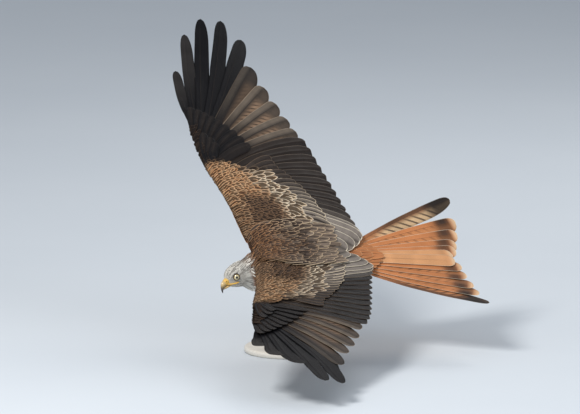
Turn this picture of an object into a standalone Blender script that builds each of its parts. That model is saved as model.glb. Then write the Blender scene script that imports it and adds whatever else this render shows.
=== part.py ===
"""A red kite in banking flight, life size, held on a plain display stand.

The bird is modelled level in a frame of its own: x forward, y to its left, z up, with the
origin midway between its shoulders. The empty "kite" then turns it into its bank over the stand.
Both wings come from the same functions, with side = +1 for the left and -1 for the right.
All sizes are in metres.
"""
import math

import bpy
import bmesh
from mathutils import Euler, Matrix, Vector

# Placing of the bird over the stand
HEIGHT = 0.232
HEADING = math.radians(194.3)
PITCH_UP = math.radians(2.5)
BANK_LEFT = math.radians(25.4)
GAP = 0.0004

# Stand
BASE_RADIUS = 0.105
BASE_THICK = 0.014
ROD_RADIUS = 0.004
ROD_AXIS_POINT = Vector((-0.012, 0.0, -0.033))
ROD_SINK = 0.030
ROD_OFF_CENTRE = Vector((-0.042, -0.004, 0.0))

# Body
TORSO_BACK = -0.186
CLAW_LENGTH = 0.012

# Head: turned to the bird's left, bent down, and rolled back towards level
HEAD_AT = Vector((0.0834, 0.0240, -0.0533))
HEAD_YAW = math.radians(36)
HEAD_DOWN = math.radians(12)
HEAD_ROLL = math.radians(34)
HEAD_SCALE = 1.03
EYE_RADIUS = 0.0088
EYE_FORWARD = -0.0008
EYE_OUT = 0.0138
EYE_TURN = math.radians(26)
SOCKET_RADIUS = 0.0074
LID_OUT = 0.0056
LID_THICK = 0.0012
BROW_TURNS = (18, 50, 85, 120, 150)
BROW_RADII = (0.0012, 0.0025, 0.0028, 0.0020, 0.0008)

# Wing: distances from the mid plane (span) and forward of the shoulders
ROOT_SPAN = 0.024
WRIST_SPAN = 0.270
SWEEP_SPAN = 0.300
DIGIT_SPAN = 0.385
ELBOW = (-0.030, 0.125)
WRIST_BACK = (0.055, 0.256)
HAND_LEAD = 0.066
PRIMARIES = 10
SECONDARIES = 12
TERTIALS = 4

# Front edge forward of the shoulder, its slope and its curve, and its slope along the hand
EDGE_AT_ROOT = 0.037
EDGE_SLOPE = 0.11
EDGE_CURVE = 0.415
HAND_EDGE_SLOPE = 0.20
# Rise of the wing's middle surface, its chord and arch, and the fall of its rear edge
SHOULDER_DROP = 0.011
DIHEDRAL = 0.20
HAND_DIHEDRAL = 0.035
UPWARD_CURVE = 0.020
WING_CHORD = 0.27
WING_ARCH = 0.010
ARM_DROOP = 0.055
TIP_DROOP = 0.030

# Feather blades
TILT = 0.12
VANE_EDGE = 0.0006
VANE_SHAFT = 0.0013
COVERT_THICK = 0.0007
PRIMARY_STACK = 0.0008
TAIL_STACK = 0.0010
PRIMARY_WIDTH = 0.050
OUTER_WIDTH = (0.050, 0.050, 0.046, 0.042, 0.034)
SECONDARY_WIDTH = 0.046
TAIL_WIDTH = 0.046
SCAPULARS = 5
ALULA_LENGTH = (0.080, 0.062, 0.046)

# Primaries, innermost first: visible length, angle back from straight out
PRIMARY_LENGTH = (0.227, 0.234, 0.244, 0.258, 0.291, 0.360, 0.368, 0.320, 0.262, 0.165)
PRIMARY_ANGLE = (62.1, 54.0, 44.9, 36.0, 26.9, 19.9, 12.3, 4.8, -2.7, -12.7)
# Sideways bow of each, as a share of its length, towards the leading edge
PRIMARY_BOW = (0, 0, 0, 0, 0, -0.010, -0.015, -0.005, 0, 0.020)
# Bend of each primary's tip above the wing's surface
FINGER_RISE = (0.0, -0.003, -0.003, -0.003, -0.007, -0.014, 0.003, 0.032, 0.032, 0.018)
# Fingers: width past the notch, and the part of the length at which it lies, P6 to P10
FINGER_WIDTH = (0.038, 0.034, 0.031, 0.028, 0.023)
FINGER_NOTCH = (0.62, 0.52, 0.46, 0.42, 0.36)

# Tail: six feathers a side, central first, with the visible length and the angle out
TAIL_ROOT = Vector((-0.172, 0, -0.014))
TAIL_LENGTH = (0.262, 0.275, 0.284, 0.301, 0.318, 0.348)
TAIL_ANGLE_LEFT = (2.0, 5.6, 12.6, 20.0, 25.7, 31.3)
TAIL_ANGLE_RIGHT = (2.0, 5.1, 9.6, 16.1, 22.6, 32.6)


def clear_scene():
    for thing in list(bpy.data.objects):
        bpy.data.objects.remove(thing, do_unlink=True)


def material(name, colour, roughness, metallic=0.0):
    """A Principled material of one colour."""
    made = bpy.data.materials.new(name)
    made.use_nodes = True
    shader = made.node_tree.nodes["Principled BSDF"]
    shader.inputs["Base Color"].default_value = (*colour, 1)
    shader.inputs["Roughness"].default_value = roughness
    shader.inputs["Metallic"].default_value = metallic
    return made


def make_object(name, verts, faces, look=None, parent=None):
    """A mesh object with its faces pointing out."""
    mesh = bpy.data.meshes.new(name)
    mesh.from_pydata([tuple(v) for v in verts], [], faces)
    shape = bmesh.new()
    shape.from_mesh(mesh)
    bmesh.ops.recalc_face_normals(shape, faces=shape.faces)
    if shape.calc_volume(signed=True) < 0:
        bmesh.ops.reverse_faces(shape, faces=shape.faces)
    shape.to_mesh(mesh)
    shape.free()
    made = bpy.data.objects.new(name, mesh)
    bpy.context.scene.collection.objects.link(made)
    made.parent = parent
    if look:
        mesh.materials.append(look)
    return made


def loft(rings):
    """Vertices and faces of a closed skin through rings of equal count, with flat ends."""
    count = len(rings[0])
    verts = [point for ring in rings for point in ring]
    faces = []
    for row in range(len(rings) - 1):
        for k in range(count):
            a = row * count + k
            b = row * count + (k + 1) % count
            faces.append((a, b, b + count, a + count))
    faces.append(tuple(range(count)))
    faces.append(tuple(range(len(verts) - count, len(verts))))
    return verts, faces


def oval(half_width, half_height, count, power=2.0):
    """Points (across, up) of an oval, squarer where its power is above 2."""
    points = []
    for k in range(count):
        angle = 2 * math.pi * k / count
        c, s = math.cos(angle), math.sin(angle)
        across = math.copysign(abs(c) ** (2 / power), c) * half_width
        up = math.copysign(abs(s) ** (2 / power), s) * half_height
        points.append((across, up))
    return points


def body_loft(name, sections, count, look, parent, power=2.0):
    """A form along x: sections of x, half width, top z, bottom z."""
    rings = []
    for x, half_width, top, bottom in sections:
        middle = (top + bottom) / 2
        half = (top - bottom) / 2
        ring = [Vector((x, y, middle + z)) for y, z in oval(half_width, half, count, power)]
        rings.append(ring)
    return make_object(name, *loft(rings), look, parent)


def evaluated_mesh(thing):
    graph = bpy.context.evaluated_depsgraph_get()
    graph.update()
    return bpy.data.meshes.new_from_object(thing.evaluated_get(graph))


def keep_largest(thing):
    """Keeps the largest closed surface of a mesh and drops loose scraps."""
    shape = bmesh.new()
    shape.from_mesh(thing.data)
    left = set(shape.verts)
    islands = []
    while left:
        start = left.pop()
        island = {start}
        edge = [start]
        while edge:
            vert = edge.pop()
            for link in vert.link_edges:
                other = link.other_vert(vert)
                if other not in island:
                    island.add(other)
                    edge.append(other)
        left -= island
        islands.append(island)
    islands.sort(key=island_volume)
    dropped = [vert for island in islands[:-1] for vert in island]
    bmesh.ops.delete(shape, geom=dropped, context="VERTS")
    bmesh.ops.triangulate(shape, faces=shape.faces)
    shape.to_mesh(thing.data)
    shape.free()


def island_volume(island):
    """Volume inside the faces of one island of vertices."""
    total = 0.0
    faces = {face for vert in island for face in vert.link_faces}
    for face in faces:
        corners = [vert.co for vert in face.verts]
        for k in range(1, len(corners) - 1):
            total += corners[0].dot(corners[k].cross(corners[k + 1])) / 6
    return abs(total)


def boolean(thing, others, operation):
    """Joins to or cuts from a thing all the others, which are then removed."""
    group = bpy.data.collections.new("pieces")
    for other in others:
        group.objects.link(other)
    modifier = thing.modifiers.new("boolean", "BOOLEAN")
    modifier.operation = operation
    modifier.operand_type = "COLLECTION"
    modifier.collection = group
    modifier.solver = "EXACT"
    mesh = evaluated_mesh(thing)
    if not mesh.polygons:
        modifier.solver = "MANIFOLD"
        mesh = evaluated_mesh(thing)
    thing.modifiers.clear()
    thing.data = mesh
    for other in others:
        bpy.data.objects.remove(other, do_unlink=True)
    bpy.data.collections.remove(group)
    keep_largest(thing)


def inflated(thing):
    """A copy of a thing, grown by the gap along its corners' normals, for cutting neighbours."""
    copy = thing.copy()
    copy.data = thing.data.copy()
    bpy.context.scene.collection.objects.link(copy)
    shape = bmesh.new()
    shape.from_mesh(copy.data)
    shape.normal_update()
    moves = [(vert, vert.normal * GAP) for vert in shape.verts]
    for vert, move in moves:
        vert.co += move
    shape.to_mesh(copy.data)
    shape.free()
    return copy


def cut_clear(thing, *neighbours):
    """Cuts a thing back from its neighbours, leaving the small gap."""
    bpy.context.view_layer.update()
    boolean(thing, [inflated(other) for other in neighbours], "DIFFERENCE")


def leading_edge(span):
    """Forward place of the wing's front edge."""
    inner = min(span, WRIST_SPAN)
    edge = EDGE_AT_ROOT + EDGE_SLOPE * inner + EDGE_CURVE * inner * inner
    return edge + HAND_EDGE_SLOPE * (span - inner)


def wing_surface(forward, span):
    """Height of the wing's middle surface: dihedral, a drooping rear edge and an arched chord."""
    beyond = max(0.0, span - WRIST_SPAN)
    rise = DIHEDRAL * span - SHOULDER_DROP + HAND_DIHEDRAL * beyond + UPWARD_CURVE * span * span
    back = leading_edge(span) - forward
    droop = ARM_DROOP * min(1.0, max(0.0, (span - 0.09) / 0.30))
    droop += TIP_DROOP * min(1.0, max(0.0, (span - 0.36) / 0.10))
    part = min(1.0, max(0.0, back / WING_CHORD))
    return rise - droop * back + WING_ARCH * 4 * part * (1 - part)


def wing_point(side, forward, span, up):
    """A point of the wing; beyond the wrist the left hand leads and the right one trails."""
    beyond = max(0.0, span - SWEEP_SPAN)
    return Vector((forward + side * HAND_LEAD * beyond, side * span, up))


def tail_surface(forward, across):
    """Height of the tail's middle surface, with its outer edges curled up."""
    back = TAIL_ROOT.x - forward
    return TAIL_ROOT.z - 0.023 * back + 0.62 * across * across


def tail_point(side, forward, across, up):
    return Vector((forward, side * across, up))


def top_share(span):
    """Share of the flesh's thickness above the middle surface, least at the shoulder."""
    return 0.18 + 0.30 * min(1.0, max(0.0, (span - 0.03) / 0.11))


def arm_thickness(span):
    return 0.036 - 0.022 * min(1.0, max(0.0, (span - ROOT_SPAN) / (WRIST_SPAN - ROOT_SPAN)))


def flesh_top(forward, span):
    """Height of the upper face of the arm's flesh."""
    part = (leading_edge(span) - forward) / (leading_edge(span) - arm_back(span))
    shape = math.sin(math.pi * min(1.0, max(0.0, part)) ** 0.62)
    return wing_surface(forward, span) + top_share(span) * arm_thickness(span) * shape


def arm_back(span):
    """Rear edge of the arm's flesh, just behind the roots of the secondaries."""
    part = min(1.0, max(0.0, (span - 0.10) / (WRIST_SPAN - 0.10)))
    return -0.062 + 0.092 * part ** 1.25


def aerofoil(side, span, front, back, thick, tail_thick):
    """One section of a wing's flesh about its middle surface."""
    stations = (0.0, 0.05, 0.2, 0.42, 0.7, 1.0)
    ring = []
    for face in (1, -1):
        for part in stations if face > 0 else stations[:0:-1]:
            forward = front - part * (front - back)
            shape = math.sin(math.pi * part ** 0.62)
            above = top_share(span)
            half = (above if face > 0 else 1 - above) * thick * shape + part * tail_thick / 2
            ring.append(wing_point(side, forward, span, wing_surface(forward, span) + face * half))
    return ring


def arm_core(side, parent, look):
    """The flesh of the inner wing, from inside the shoulder to the wrist."""
    rings = []
    for span in (ROOT_SPAN, 0.065, 0.10, 0.14, 0.18, 0.22, WRIST_SPAN - 0.0002):
        rings.append(aerofoil(side, span, leading_edge(span), arm_back(span),
                              arm_thickness(span), 0.0035))
    return make_object("wing_arm_" + side_name(side), *loft(rings), look, parent)


def hand_core(side, parent, look):
    """The flesh of the hand, from the wrist to the tip of its digit."""
    rings = []
    steps = 4
    for k in range(steps + 1):
        part = k / steps
        span = WRIST_SPAN + 0.0002 + part * (DIGIT_SPAN - WRIST_SPAN)
        front = leading_edge(span)
        chord = 0.047 - 0.031 * part
        rings.append(aerofoil(side, span, front, front - chord, 0.014 - 0.007 * part, 0.003))
    return make_object("wing_hand_" + side_name(side), *loft(rings), look, parent)


def side_name(side):
    return "left" if side > 0 else "right"


def curve(root, tip, bow):
    """A plan line from root to tip, bowed towards its leading side, as a function of 0 to 1."""
    run = tip - root
    lead = Vector((run.y, -run.x))

    def point(part):
        return root + run * part + lead * (bow * 4 * part * (1 - part))
    return point


def vane(line, half_widths, parts, height, place, tilt, look, edge=VANE_EDGE, shaft=VANE_SHAFT):
    """One feather: a thin closed blade along a plan line, its two faces triangulated alike.

    half_widths(part) gives the leading and trailing web, height(forward, span, part) the middle
    surface, and tilt raises the leading web over the next feather.
    """
    rings = []
    for part in parts:
        middle = line(part)
        run = (line(min(1, part + 0.02)) - line(max(0, part - 0.02))).normalized()
        lead = Vector((run.y, -run.x))
        lead_width, trail_width = half_widths(part)
        upper, lower = [], []
        for reach, thick in ((lead_width, edge), (0.0, shaft), (-trail_width, edge)):
            if not shaft and not reach:
                continue
            at = middle + lead * reach
            thick *= 1.15 - 0.4 * part
            up = height(at.x, at.y, part) + tilt * reach
            upper.append(place(at.x, at.y, up + thick / 2))
            lower.append(place(at.x, at.y, up - thick / 2))
        rings.append(upper + lower[::-1])
    count = len(rings[0])
    across = count // 2
    verts = [point for ring in rings for point in ring]
    faces = []
    for row in range(len(rings) - 1):
        base = row * count
        for k in range(across - 1):
            a, b = base + k, base + k + 1
            faces.append((a, b, b + count))
            faces.append((a, b + count, a + count))
            a, b = base + count - 1 - k, base + count - 2 - k
            faces.append((a, b + count, b))
            faces.append((a, a + count, b + count))
        for a, b in ((base + across - 1, base + across), (base + count - 1, base)):
            faces.append((a, b, b + count))
            faces.append((a, b + count, a + count))
    for base in (0, len(verts) - count):
        for k in range(across - 1):
            faces.append((base + k, base + k + 1, base + count - 2 - k, base + count - 1 - k))
    return make_object("vane", verts, faces, look)


def rounded(part, root_share, tip_from, tip_share):
    """Share of full width along a feather: narrow root, even middle and rounded tip."""
    if part < 0.3:
        return root_share + (1 - root_share) * math.sin(math.pi / 2 * part / 0.3)
    if part > tip_from:
        past = (part - tip_from) / (1 - tip_from)
        return tip_share + (1 - tip_share) * math.sqrt(max(0.0, 1 - past ** 2.2))
    return 1.0


def make_primary(side, index, look):
    """A primary, index 0 innermost; the outer five narrow past their notches into fingers."""
    share = index / (PRIMARIES - 1)
    front = leading_edge(WRIST_SPAN)
    root = Vector((front - 0.026 + 0.034 * share, 0.277 + 0.098 * share))
    angle = math.radians(PRIMARY_ANGLE[index])
    tip = root + Vector((-math.sin(angle), math.cos(angle))) * PRIMARY_LENGTH[index]
    finger = index >= 5
    notch = FINGER_NOTCH[index - 5] if finger else 1.0
    full = OUTER_WIDTH[index - 5] if finger else PRIMARY_WIDTH
    narrow = FINGER_WIDTH[index - 5] / full if finger else 1.0

    def half_widths(part):
        if finger:
            past = min(1.0, max(0.0, (part - notch) / 0.12))
            width = full * (1 - (1 - narrow) * past) * rounded(part, 0.35, 0.84, 0.32)
            lead_share = 0.24 + 0.16 * past
        else:
            width = full * rounded(part, 0.35, 0.86, 0.3)
            lead_share = 0.34
        return width * lead_share, width * (1 - lead_share)

    def height(forward, span, part):
        bend = max(0.0, (part - 0.55) / 0.45) ** 1.6
        stack = 0.001 - PRIMARY_STACK * index
        return wing_surface(forward, span) + stack + FINGER_RISE[index] * bend

    if finger:
        parts = (0, 0.25, notch, notch + 0.12, 0.84, 0.95, 1)
    else:
        parts = (0, 0.3, 0.62, 0.86, 0.96, 1)
    return vane(curve(root, tip, PRIMARY_BOW[index]), half_widths, parts, height,
                lambda f, s, u: wing_point(side, f, s, u), TILT, look)


def secondary_ends(index):
    """Plan root and tip of a secondary, index 0 outermost; the tertials run on inwards."""
    share = index / (SECONDARIES - 1)
    root = Vector(WRIST_BACK).lerp(Vector(ELBOW), share)
    tip = Vector((-0.147 - 0.077 * min(share, 1.0) ** 0.8, 0.356 - 0.296 * share))
    if share > 1:
        inner = index - SECONDARIES + 1
        root = Vector(ELBOW) + Vector((-0.004, -0.0165)) * inner
        tip = Vector((-0.229 + 0.004 * inner * inner / 2, 0.060 - 0.0092 * inner))
    return root, tip


def make_secondary(side, index, look):
    root, tip = secondary_ends(index)

    def half_widths(part):
        width = SECONDARY_WIDTH * rounded(part, 0.4, 0.88, 0.3)
        return width * 0.34, width * 0.66

    def height(forward, span, part):
        inner = max(0, index - SECONDARIES + 1)
        return wing_surface(forward, span) + 0.001 + 0.0012 * inner

    return vane(curve(root, tip, 0.045), half_widths, (0, 0.35, 0.7, 0.93, 1), height,
                lambda f, s, u: wing_point(side, f, s, u), TILT, look)


def make_covert(side, root, tip, width, lift, look, bow=0.03, sink=0.008):
    """A covert from the flesh's upper face down to a given height over the flight feathers."""
    root_lift = flesh_top(root.x, root.y) - sink - wing_surface(root.x, root.y)
    if root.y > WRIST_SPAN:
        root_lift = 0.0015

    def half_widths(part):
        wide = width * rounded(part, 0.5, 0.75, 0.35)
        return wide * 0.45, wide * 0.55

    def height(forward, span, part):
        return wing_surface(forward, span) + root_lift + (lift - root_lift) * min(1.0, part / 0.5)

    return vane(curve(root, tip, bow), half_widths, (0, 0.5, 0.85, 1), height,
                lambda f, s, u: wing_point(side, f, s, u), TILT, look, COVERT_THICK, 0)


def secondary_coverts(side, count, back, length, width, lift, look):
    """A row of coverts along the arm, each lying along the secondaries below it."""
    row = []
    for k in range(count):
        share = (k + 0.5) / count
        span = 0.258 - 0.165 * share
        root = Vector((leading_edge(span) - back * (1 - 0.25 * (1 - share)), span))
        angle = math.radians(64 + 44 * share)
        tip = root + Vector((-math.sin(angle), math.cos(angle))) * length
        row.append(make_covert(side, root, tip, width, lift, look))
    return row


def primary_coverts(side, look):
    """Coverts over the roots of the primaries, and the alula on the wrist."""
    row = []
    front = leading_edge(WRIST_SPAN)
    for k in range(PRIMARIES - 1):
        share = k / (PRIMARIES - 1)
        root = Vector((front - 0.022 + 0.036 * share, 0.278 + 0.092 * share))
        angle = math.radians((PRIMARY_ANGLE[k] + PRIMARY_ANGLE[k + 1]) / 2)
        length = 0.088 - 0.016 * share
        tip = root + Vector((-math.sin(angle), math.cos(angle))) * length
        row.append(make_covert(side, root, tip, 0.024, 0.0065 - PRIMARY_STACK * k * 0.8, look))
    for k, length in enumerate(ALULA_LENGTH):
        root = Vector((front - 0.006 - 0.004 * k, 0.278 + 0.002 * k))
        angle = math.radians(-2 + 9 * k)
        tip = root + Vector((-math.sin(angle), math.cos(angle))) * length
        row.append(make_covert(side, root, tip, 0.020, 0.0085 - 0.0009 * (2 - k), look))
    return row


def scapulars(side, look):
    """Shoulder feathers that lie back over the tertials."""
    row = []
    for k in range(SCAPULARS):
        root = Vector((0.008 - 0.015 * k, 0.052 - 0.002 * k))
        tip = Vector((-0.058 - 0.026 * k, 0.080 - 0.0105 * k))
        row.append(make_covert(side, root, tip, 0.030, 0.0125 + 0.0012 * k, look, 0.05))
    return row


def make_tail_feather(side, index, look):
    """A tail feather, index 0 central, the outer ones below and longer."""
    angle = math.radians((TAIL_ANGLE_LEFT if side > 0 else TAIL_ANGLE_RIGHT)[index])
    root = Vector((TAIL_ROOT.x, 0.003 + 0.003 * index))
    tip = root + Vector((-math.cos(angle), math.sin(angle))) * TAIL_LENGTH[index]
    lead_share = 0.5 - 0.24 * index / 5

    def half_widths(part):
        width = TAIL_WIDTH * (0.7 + 0.3 * part) * rounded(part, 0.35, 0.93, 0.4)
        if side < 0 and index == 5:
            width *= 0.80
        return width * lead_share, width * (1 - lead_share)

    def height(forward, across, part):
        top = 0.0024 if side > 0 and index == 0 else 0.0
        return tail_surface(forward, across) - TAIL_STACK * index + top

    tilt = 0.0 if index == 0 else TILT
    return vane(curve(root, tip, 0.035 * index / 5), half_widths, (0, 0.25, 0.6, 0.93, 1), height,
                lambda f, s, u: tail_point(side, f, s, u), tilt, look)


def tail_coverts(side, count, length, width, lift, face, look):
    """Coverts above (face 1) or below (face -1) the root of the tail."""
    row = []
    for k in range(count):
        root = Vector((TAIL_ROOT.x - 0.018, 0.004 + 0.0065 * k))
        angle = math.radians(2 + 8.5 * k)
        tip = root + Vector((-math.cos(angle), math.sin(angle))) * (length - 0.006 * k)
        first = 0.002 if side > 0 and k == 0 else 0.0

        def half_widths(part):
            wide = width * rounded(part, 0.5, 0.75, 0.35)
            return wide * 0.5, wide * 0.5

        def height(forward, across, part, k=k, first=first):
            offset = lift + first - 0.0012 * k
            return tail_surface(forward, across) + face * offset * min(1.0, 0.35 + part / 0.4)

        row.append(vane(curve(root, tip, 0.0), half_widths, (0, 0.5, 0.85, 1), height,
                        lambda f, s, u: tail_point(side, f, s, u),
                        0.0 if k == 0 else face * TILT, look, COVERT_THICK, 0))
    return row


def make_torso(kite, look):
    sections = (
        (0.026, 0.026, 0.000, -0.060), (0.021, 0.036, 0.007, -0.069),
        (0.009, 0.046, 0.013, -0.079), (-0.008, 0.052, 0.016, -0.084),
        (-0.032, 0.053, 0.016, -0.083), (-0.070, 0.050, 0.013, -0.074),
        (-0.105, 0.044, 0.008, -0.062), (-0.140, 0.035, 0.002, -0.050),
        (-0.170, 0.027, -0.004, -0.040), (TORSO_BACK, 0.021, -0.008, -0.034))
    return body_loft("torso", sections, 22, look, kite, 2.5)


def head_matrix():
    turn = Euler((HEAD_ROLL, HEAD_DOWN, HEAD_YAW)).to_matrix().to_4x4()
    return Matrix.Translation(HEAD_AT) @ turn @ Matrix.Scale(HEAD_SCALE, 4)


def place_in_head(thing):
    thing.data.transform(head_matrix())


def make_neck(kite, look):
    """A short collar from inside the head to inside the torso."""
    frame = head_matrix()
    start = frame @ Vector((-0.018, 0, -0.008))
    end = Vector((0.016, 0.006, -0.036))
    way_in = (frame.to_3x3() @ Vector((-1, 0, 0))).normalized()
    rings = []
    steps = 5
    for k in range(steps + 1):
        part = k / steps
        centre = start.lerp(end, part) + Vector((0, 0.003, -0.005)) * math.sin(math.pi * part)
        axis = way_in.lerp(Vector((-1, 0, 0)), part).normalized()
        across = Vector((0, 0, 1)).cross(axis).normalized()
        up = axis.cross(across).normalized()
        swell = math.sin(math.pi / 2 * part)
        half_width = 0.0245 + 0.0215 * swell
        half_height = 0.0285 + 0.0180 * swell
        rings.append([centre + across * a + up * b
                      for a, b in oval(half_width, half_height, 18)])
    return make_object("neck", *loft(rings), look, kite)


def brow(kite, side, look):
    """The bony ridge that arches over the eye, heaviest ahead of it."""
    points = [eye_point(side, LID_OUT - 0.0002, math.radians(turn), SOCKET_RADIUS + 0.0014)
              for turn in BROW_TURNS]
    return tube("brow", points, BROW_RADII, 6, kite, look)


def make_head(kite, look):
    """The feathered skull with its brows."""
    sections = (
        (0.0185, 0.0070, 0.0078, -0.0120), (0.0165, 0.0095, 0.0125, -0.0155),
        (0.0120, 0.0135, 0.0180, -0.0195), (0.0050, 0.0180, 0.0218, -0.0240),
        (-0.0050, 0.0218, 0.0238, -0.0295), (-0.0160, 0.0245, 0.0242, -0.0345),
        (-0.0260, 0.0255, 0.0235, -0.0370), (-0.0330, 0.0240, 0.0210, -0.0360))
    head = body_loft("head", sections, 20, look, kite)
    brows = [brow(kite, side, look) for side in (1, -1)]
    boolean(head, brows, "UNION")
    place_in_head(head)
    return head


def ball(name, centre, radius, rings, segments, parent, look, stretch=(1, 1, 1)):
    shape = bmesh.new()
    bmesh.ops.create_uvsphere(shape, u_segments=segments, v_segments=rings, radius=radius)
    for vert in shape.verts:
        vert.co = Vector([v * s for v, s in zip(vert.co, stretch)]) + Vector(centre)
    mesh = bpy.data.meshes.new(name)
    shape.to_mesh(mesh)
    shape.free()
    made = bpy.data.objects.new(name, mesh)
    bpy.context.scene.collection.objects.link(made)
    made.parent = parent
    mesh.materials.append(look)
    return made


def eye_centre(side):
    return Vector((EYE_FORWARD, side * EYE_OUT, 0))


def eye_point(side, out, around, reach):
    """Point near the eye: out along its axis, and reach from the axis at an angle."""
    axis = Vector((math.sin(EYE_TURN), side * math.cos(EYE_TURN), 0))
    across = Vector((math.cos(EYE_TURN), -side * math.sin(EYE_TURN), 0))
    return (eye_centre(side) + axis * out
            + (across * math.cos(around) + Vector((0, 0, math.sin(around)))) * reach)


def make_eye(kite, side, look):
    eye = ball("eye_" + side_name(side), eye_centre(side), EYE_RADIUS, 8, 12, kite, look)
    place_in_head(eye)
    return eye


def eye_socket(kite, side, look):
    """A short round cutter that opens the socket from the eye outwards."""
    around = 12
    rings = [[eye_point(side, out, 2 * math.pi * k / around, SOCKET_RADIUS)
              for k in range(around)] for out in (LID_OUT - 0.002, LID_OUT + 0.012)]
    socket = make_object("socket", *loft(rings), look, kite)
    place_in_head(socket)
    return socket


def eyelids(kite, side, look):
    """A rounded rim round the eye, set in the mouth of its socket."""
    around, section = 12, 6
    verts, faces = [], []
    for i in range(around):
        for j in range(section):
            roll = 2 * math.pi * j / section
            verts.append(eye_point(side, LID_OUT + LID_THICK * math.sin(roll),
                                   2 * math.pi * i / around,
                                   SOCKET_RADIUS + LID_THICK * math.cos(roll)))
            a, b = i * section + j, i * section + (j + 1) % section
            step = section if i < around - 1 else section - around * section
            faces.append((a, b, b + step, a + step))
    lids = make_object("lids", verts, faces, look, kite)
    place_in_head(lids)
    return lids


def mouth_line(side, part):
    """Point along the line of the mouth, from within the cere back to its corner."""
    return Vector((0.0225 - 0.0235 * part,
                   side * (0.0040 + 0.0138 * math.sin(part * math.pi / 2)),
                   -0.0128 + 0.0078 * (1 - part) ** 2))


def bill_loft(name, sections, kite, look, count=12):
    """A form in the head frame: sections of x, top z, bottom z, half width."""
    rings = []
    for x, top, bottom, half_width in sections:
        middle, half = (top + bottom) / 2, (top - bottom) / 2
        rings.append([Vector((x, y, middle + up)) for y, up in oval(half_width, half, count)])
    made = make_object(name, *loft(rings), look, kite)
    place_in_head(made)
    return made


def make_bill(kite, look_horn, look_cere):
    """The cere with its nostrils and gape, the hooked upper bill and the lower bill."""
    cere = bill_loft("cere", (
        (0.0120, 0.0080, -0.0085, 0.0080), (0.0185, 0.0070, -0.0085, 0.0075),
        (0.0255, 0.0052, -0.0082, 0.0060)), kite, look_cere)
    gapes = []
    for side in (1, -1):
        points = [mouth_line(side, k / 4) for k in range(5)]
        gape = tube("gape", points, (0.0016, 0.0019, 0.0019, 0.0016, 0.0008), 6, kite, look_cere)
        place_in_head(gape)
        gapes.append(gape)
    boolean(cere, gapes, "UNION")
    nostrils = []
    for side in (1, -1):
        nostril = ball("nostril", (0.0225, side * 0.0064, 0.0005), 1.0, 4, 6, kite, look_cere,
                       (0.0018, 0.0022, 0.0009))
        place_in_head(nostril)
        nostrils.append(nostril)
    boolean(cere, nostrils, "DIFFERENCE")
    rings = []
    steps = 7
    for k in range(steps + 1):
        part = k / steps
        angle = math.radians(86) * part ** 1.25
        size = (1 - part ** 1.6) ** 0.75
        centre = Vector((0.0259 + 0.0136 * math.sin(angle) * (0.75 + 0.25 * part), 0,
                         -0.0015 - 0.0178 * (1 - math.cos(angle)) * (0.8 + 0.2 * part)))
        up = Vector((math.sin(angle), 0, math.cos(angle)))
        half_width = 0.0054 * size + 0.0004
        half_height = 0.0066 * size + 0.0004
        rings.append([centre + Vector((0, a, 0)) + up * b
                      for a, b in oval(half_width, half_height, 12)])
    upper = make_object("bill_upper", *loft(rings), look_horn, kite)
    place_in_head(upper)
    lower = bill_loft("bill_lower", (
        (0.0110, -0.0095, -0.0150, 0.0075), (0.0200, -0.0088, -0.0145, 0.0060),
        (0.0290, -0.0088, -0.0132, 0.0044), (0.0345, -0.0095, -0.0120, 0.0018)), kite, look_horn)
    return cere, upper, lower


def tube(name, points, radii, count, kite, look):
    """A round limb through points, with a radius at each."""
    rings = []
    for k, centre in enumerate(points):
        ahead = points[min(k + 1, len(points) - 1)]
        behind = points[max(k - 1, 0)]
        axis = (ahead - behind).normalized()
        across = axis.cross(Vector((0, 0, 1)))
        if across.length < 0.1:
            across = axis.cross(Vector((1, 0, 0)))
        across.normalize()
        up = across.cross(axis)
        rings.append([centre + across * a + up * b for a, b in oval(radii[k], radii[k], count)])
    return make_object(name, *loft(rings), look, kite)


def make_thigh(kite, side, look):
    points = [Vector((-0.020, side * 0.034, -0.058)), Vector((-0.045, side * 0.034, -0.068)),
              Vector((-0.080, side * 0.031, -0.072)), Vector((-0.105, side * 0.028, -0.071)),
              Vector((-0.122, side * 0.026, -0.070))]
    return tube("thigh_" + side_name(side), points, (0.015, 0.0175, 0.0145, 0.010, 0.0065), 12, kite, look)


def toe_lines(side):
    """Root, middle and tip of each toe, the hind toe last, and the middle of its claw."""
    heel = Vector((-0.168, side * 0.021, -0.064))
    lines = []
    for lean, length, drop in ((-0.35, 0.024, -0.006), (0.0, 0.031, -0.007), (0.35, 0.024, -0.006)):
        along = Vector((-math.cos(lean), math.sin(lean), 0))
        tip = heel + along * length + Vector((0, 0, drop))
        lines.append((heel, heel.lerp(tip, 0.55) + Vector((0, 0, 0.004)), tip, along))
    tip = heel + Vector((-0.015, 0, -0.015))
    lines.append((heel, heel + Vector((-0.005, 0, -0.009)), tip, Vector((-0.8, 0, 0.2))))
    return heel, lines


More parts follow.
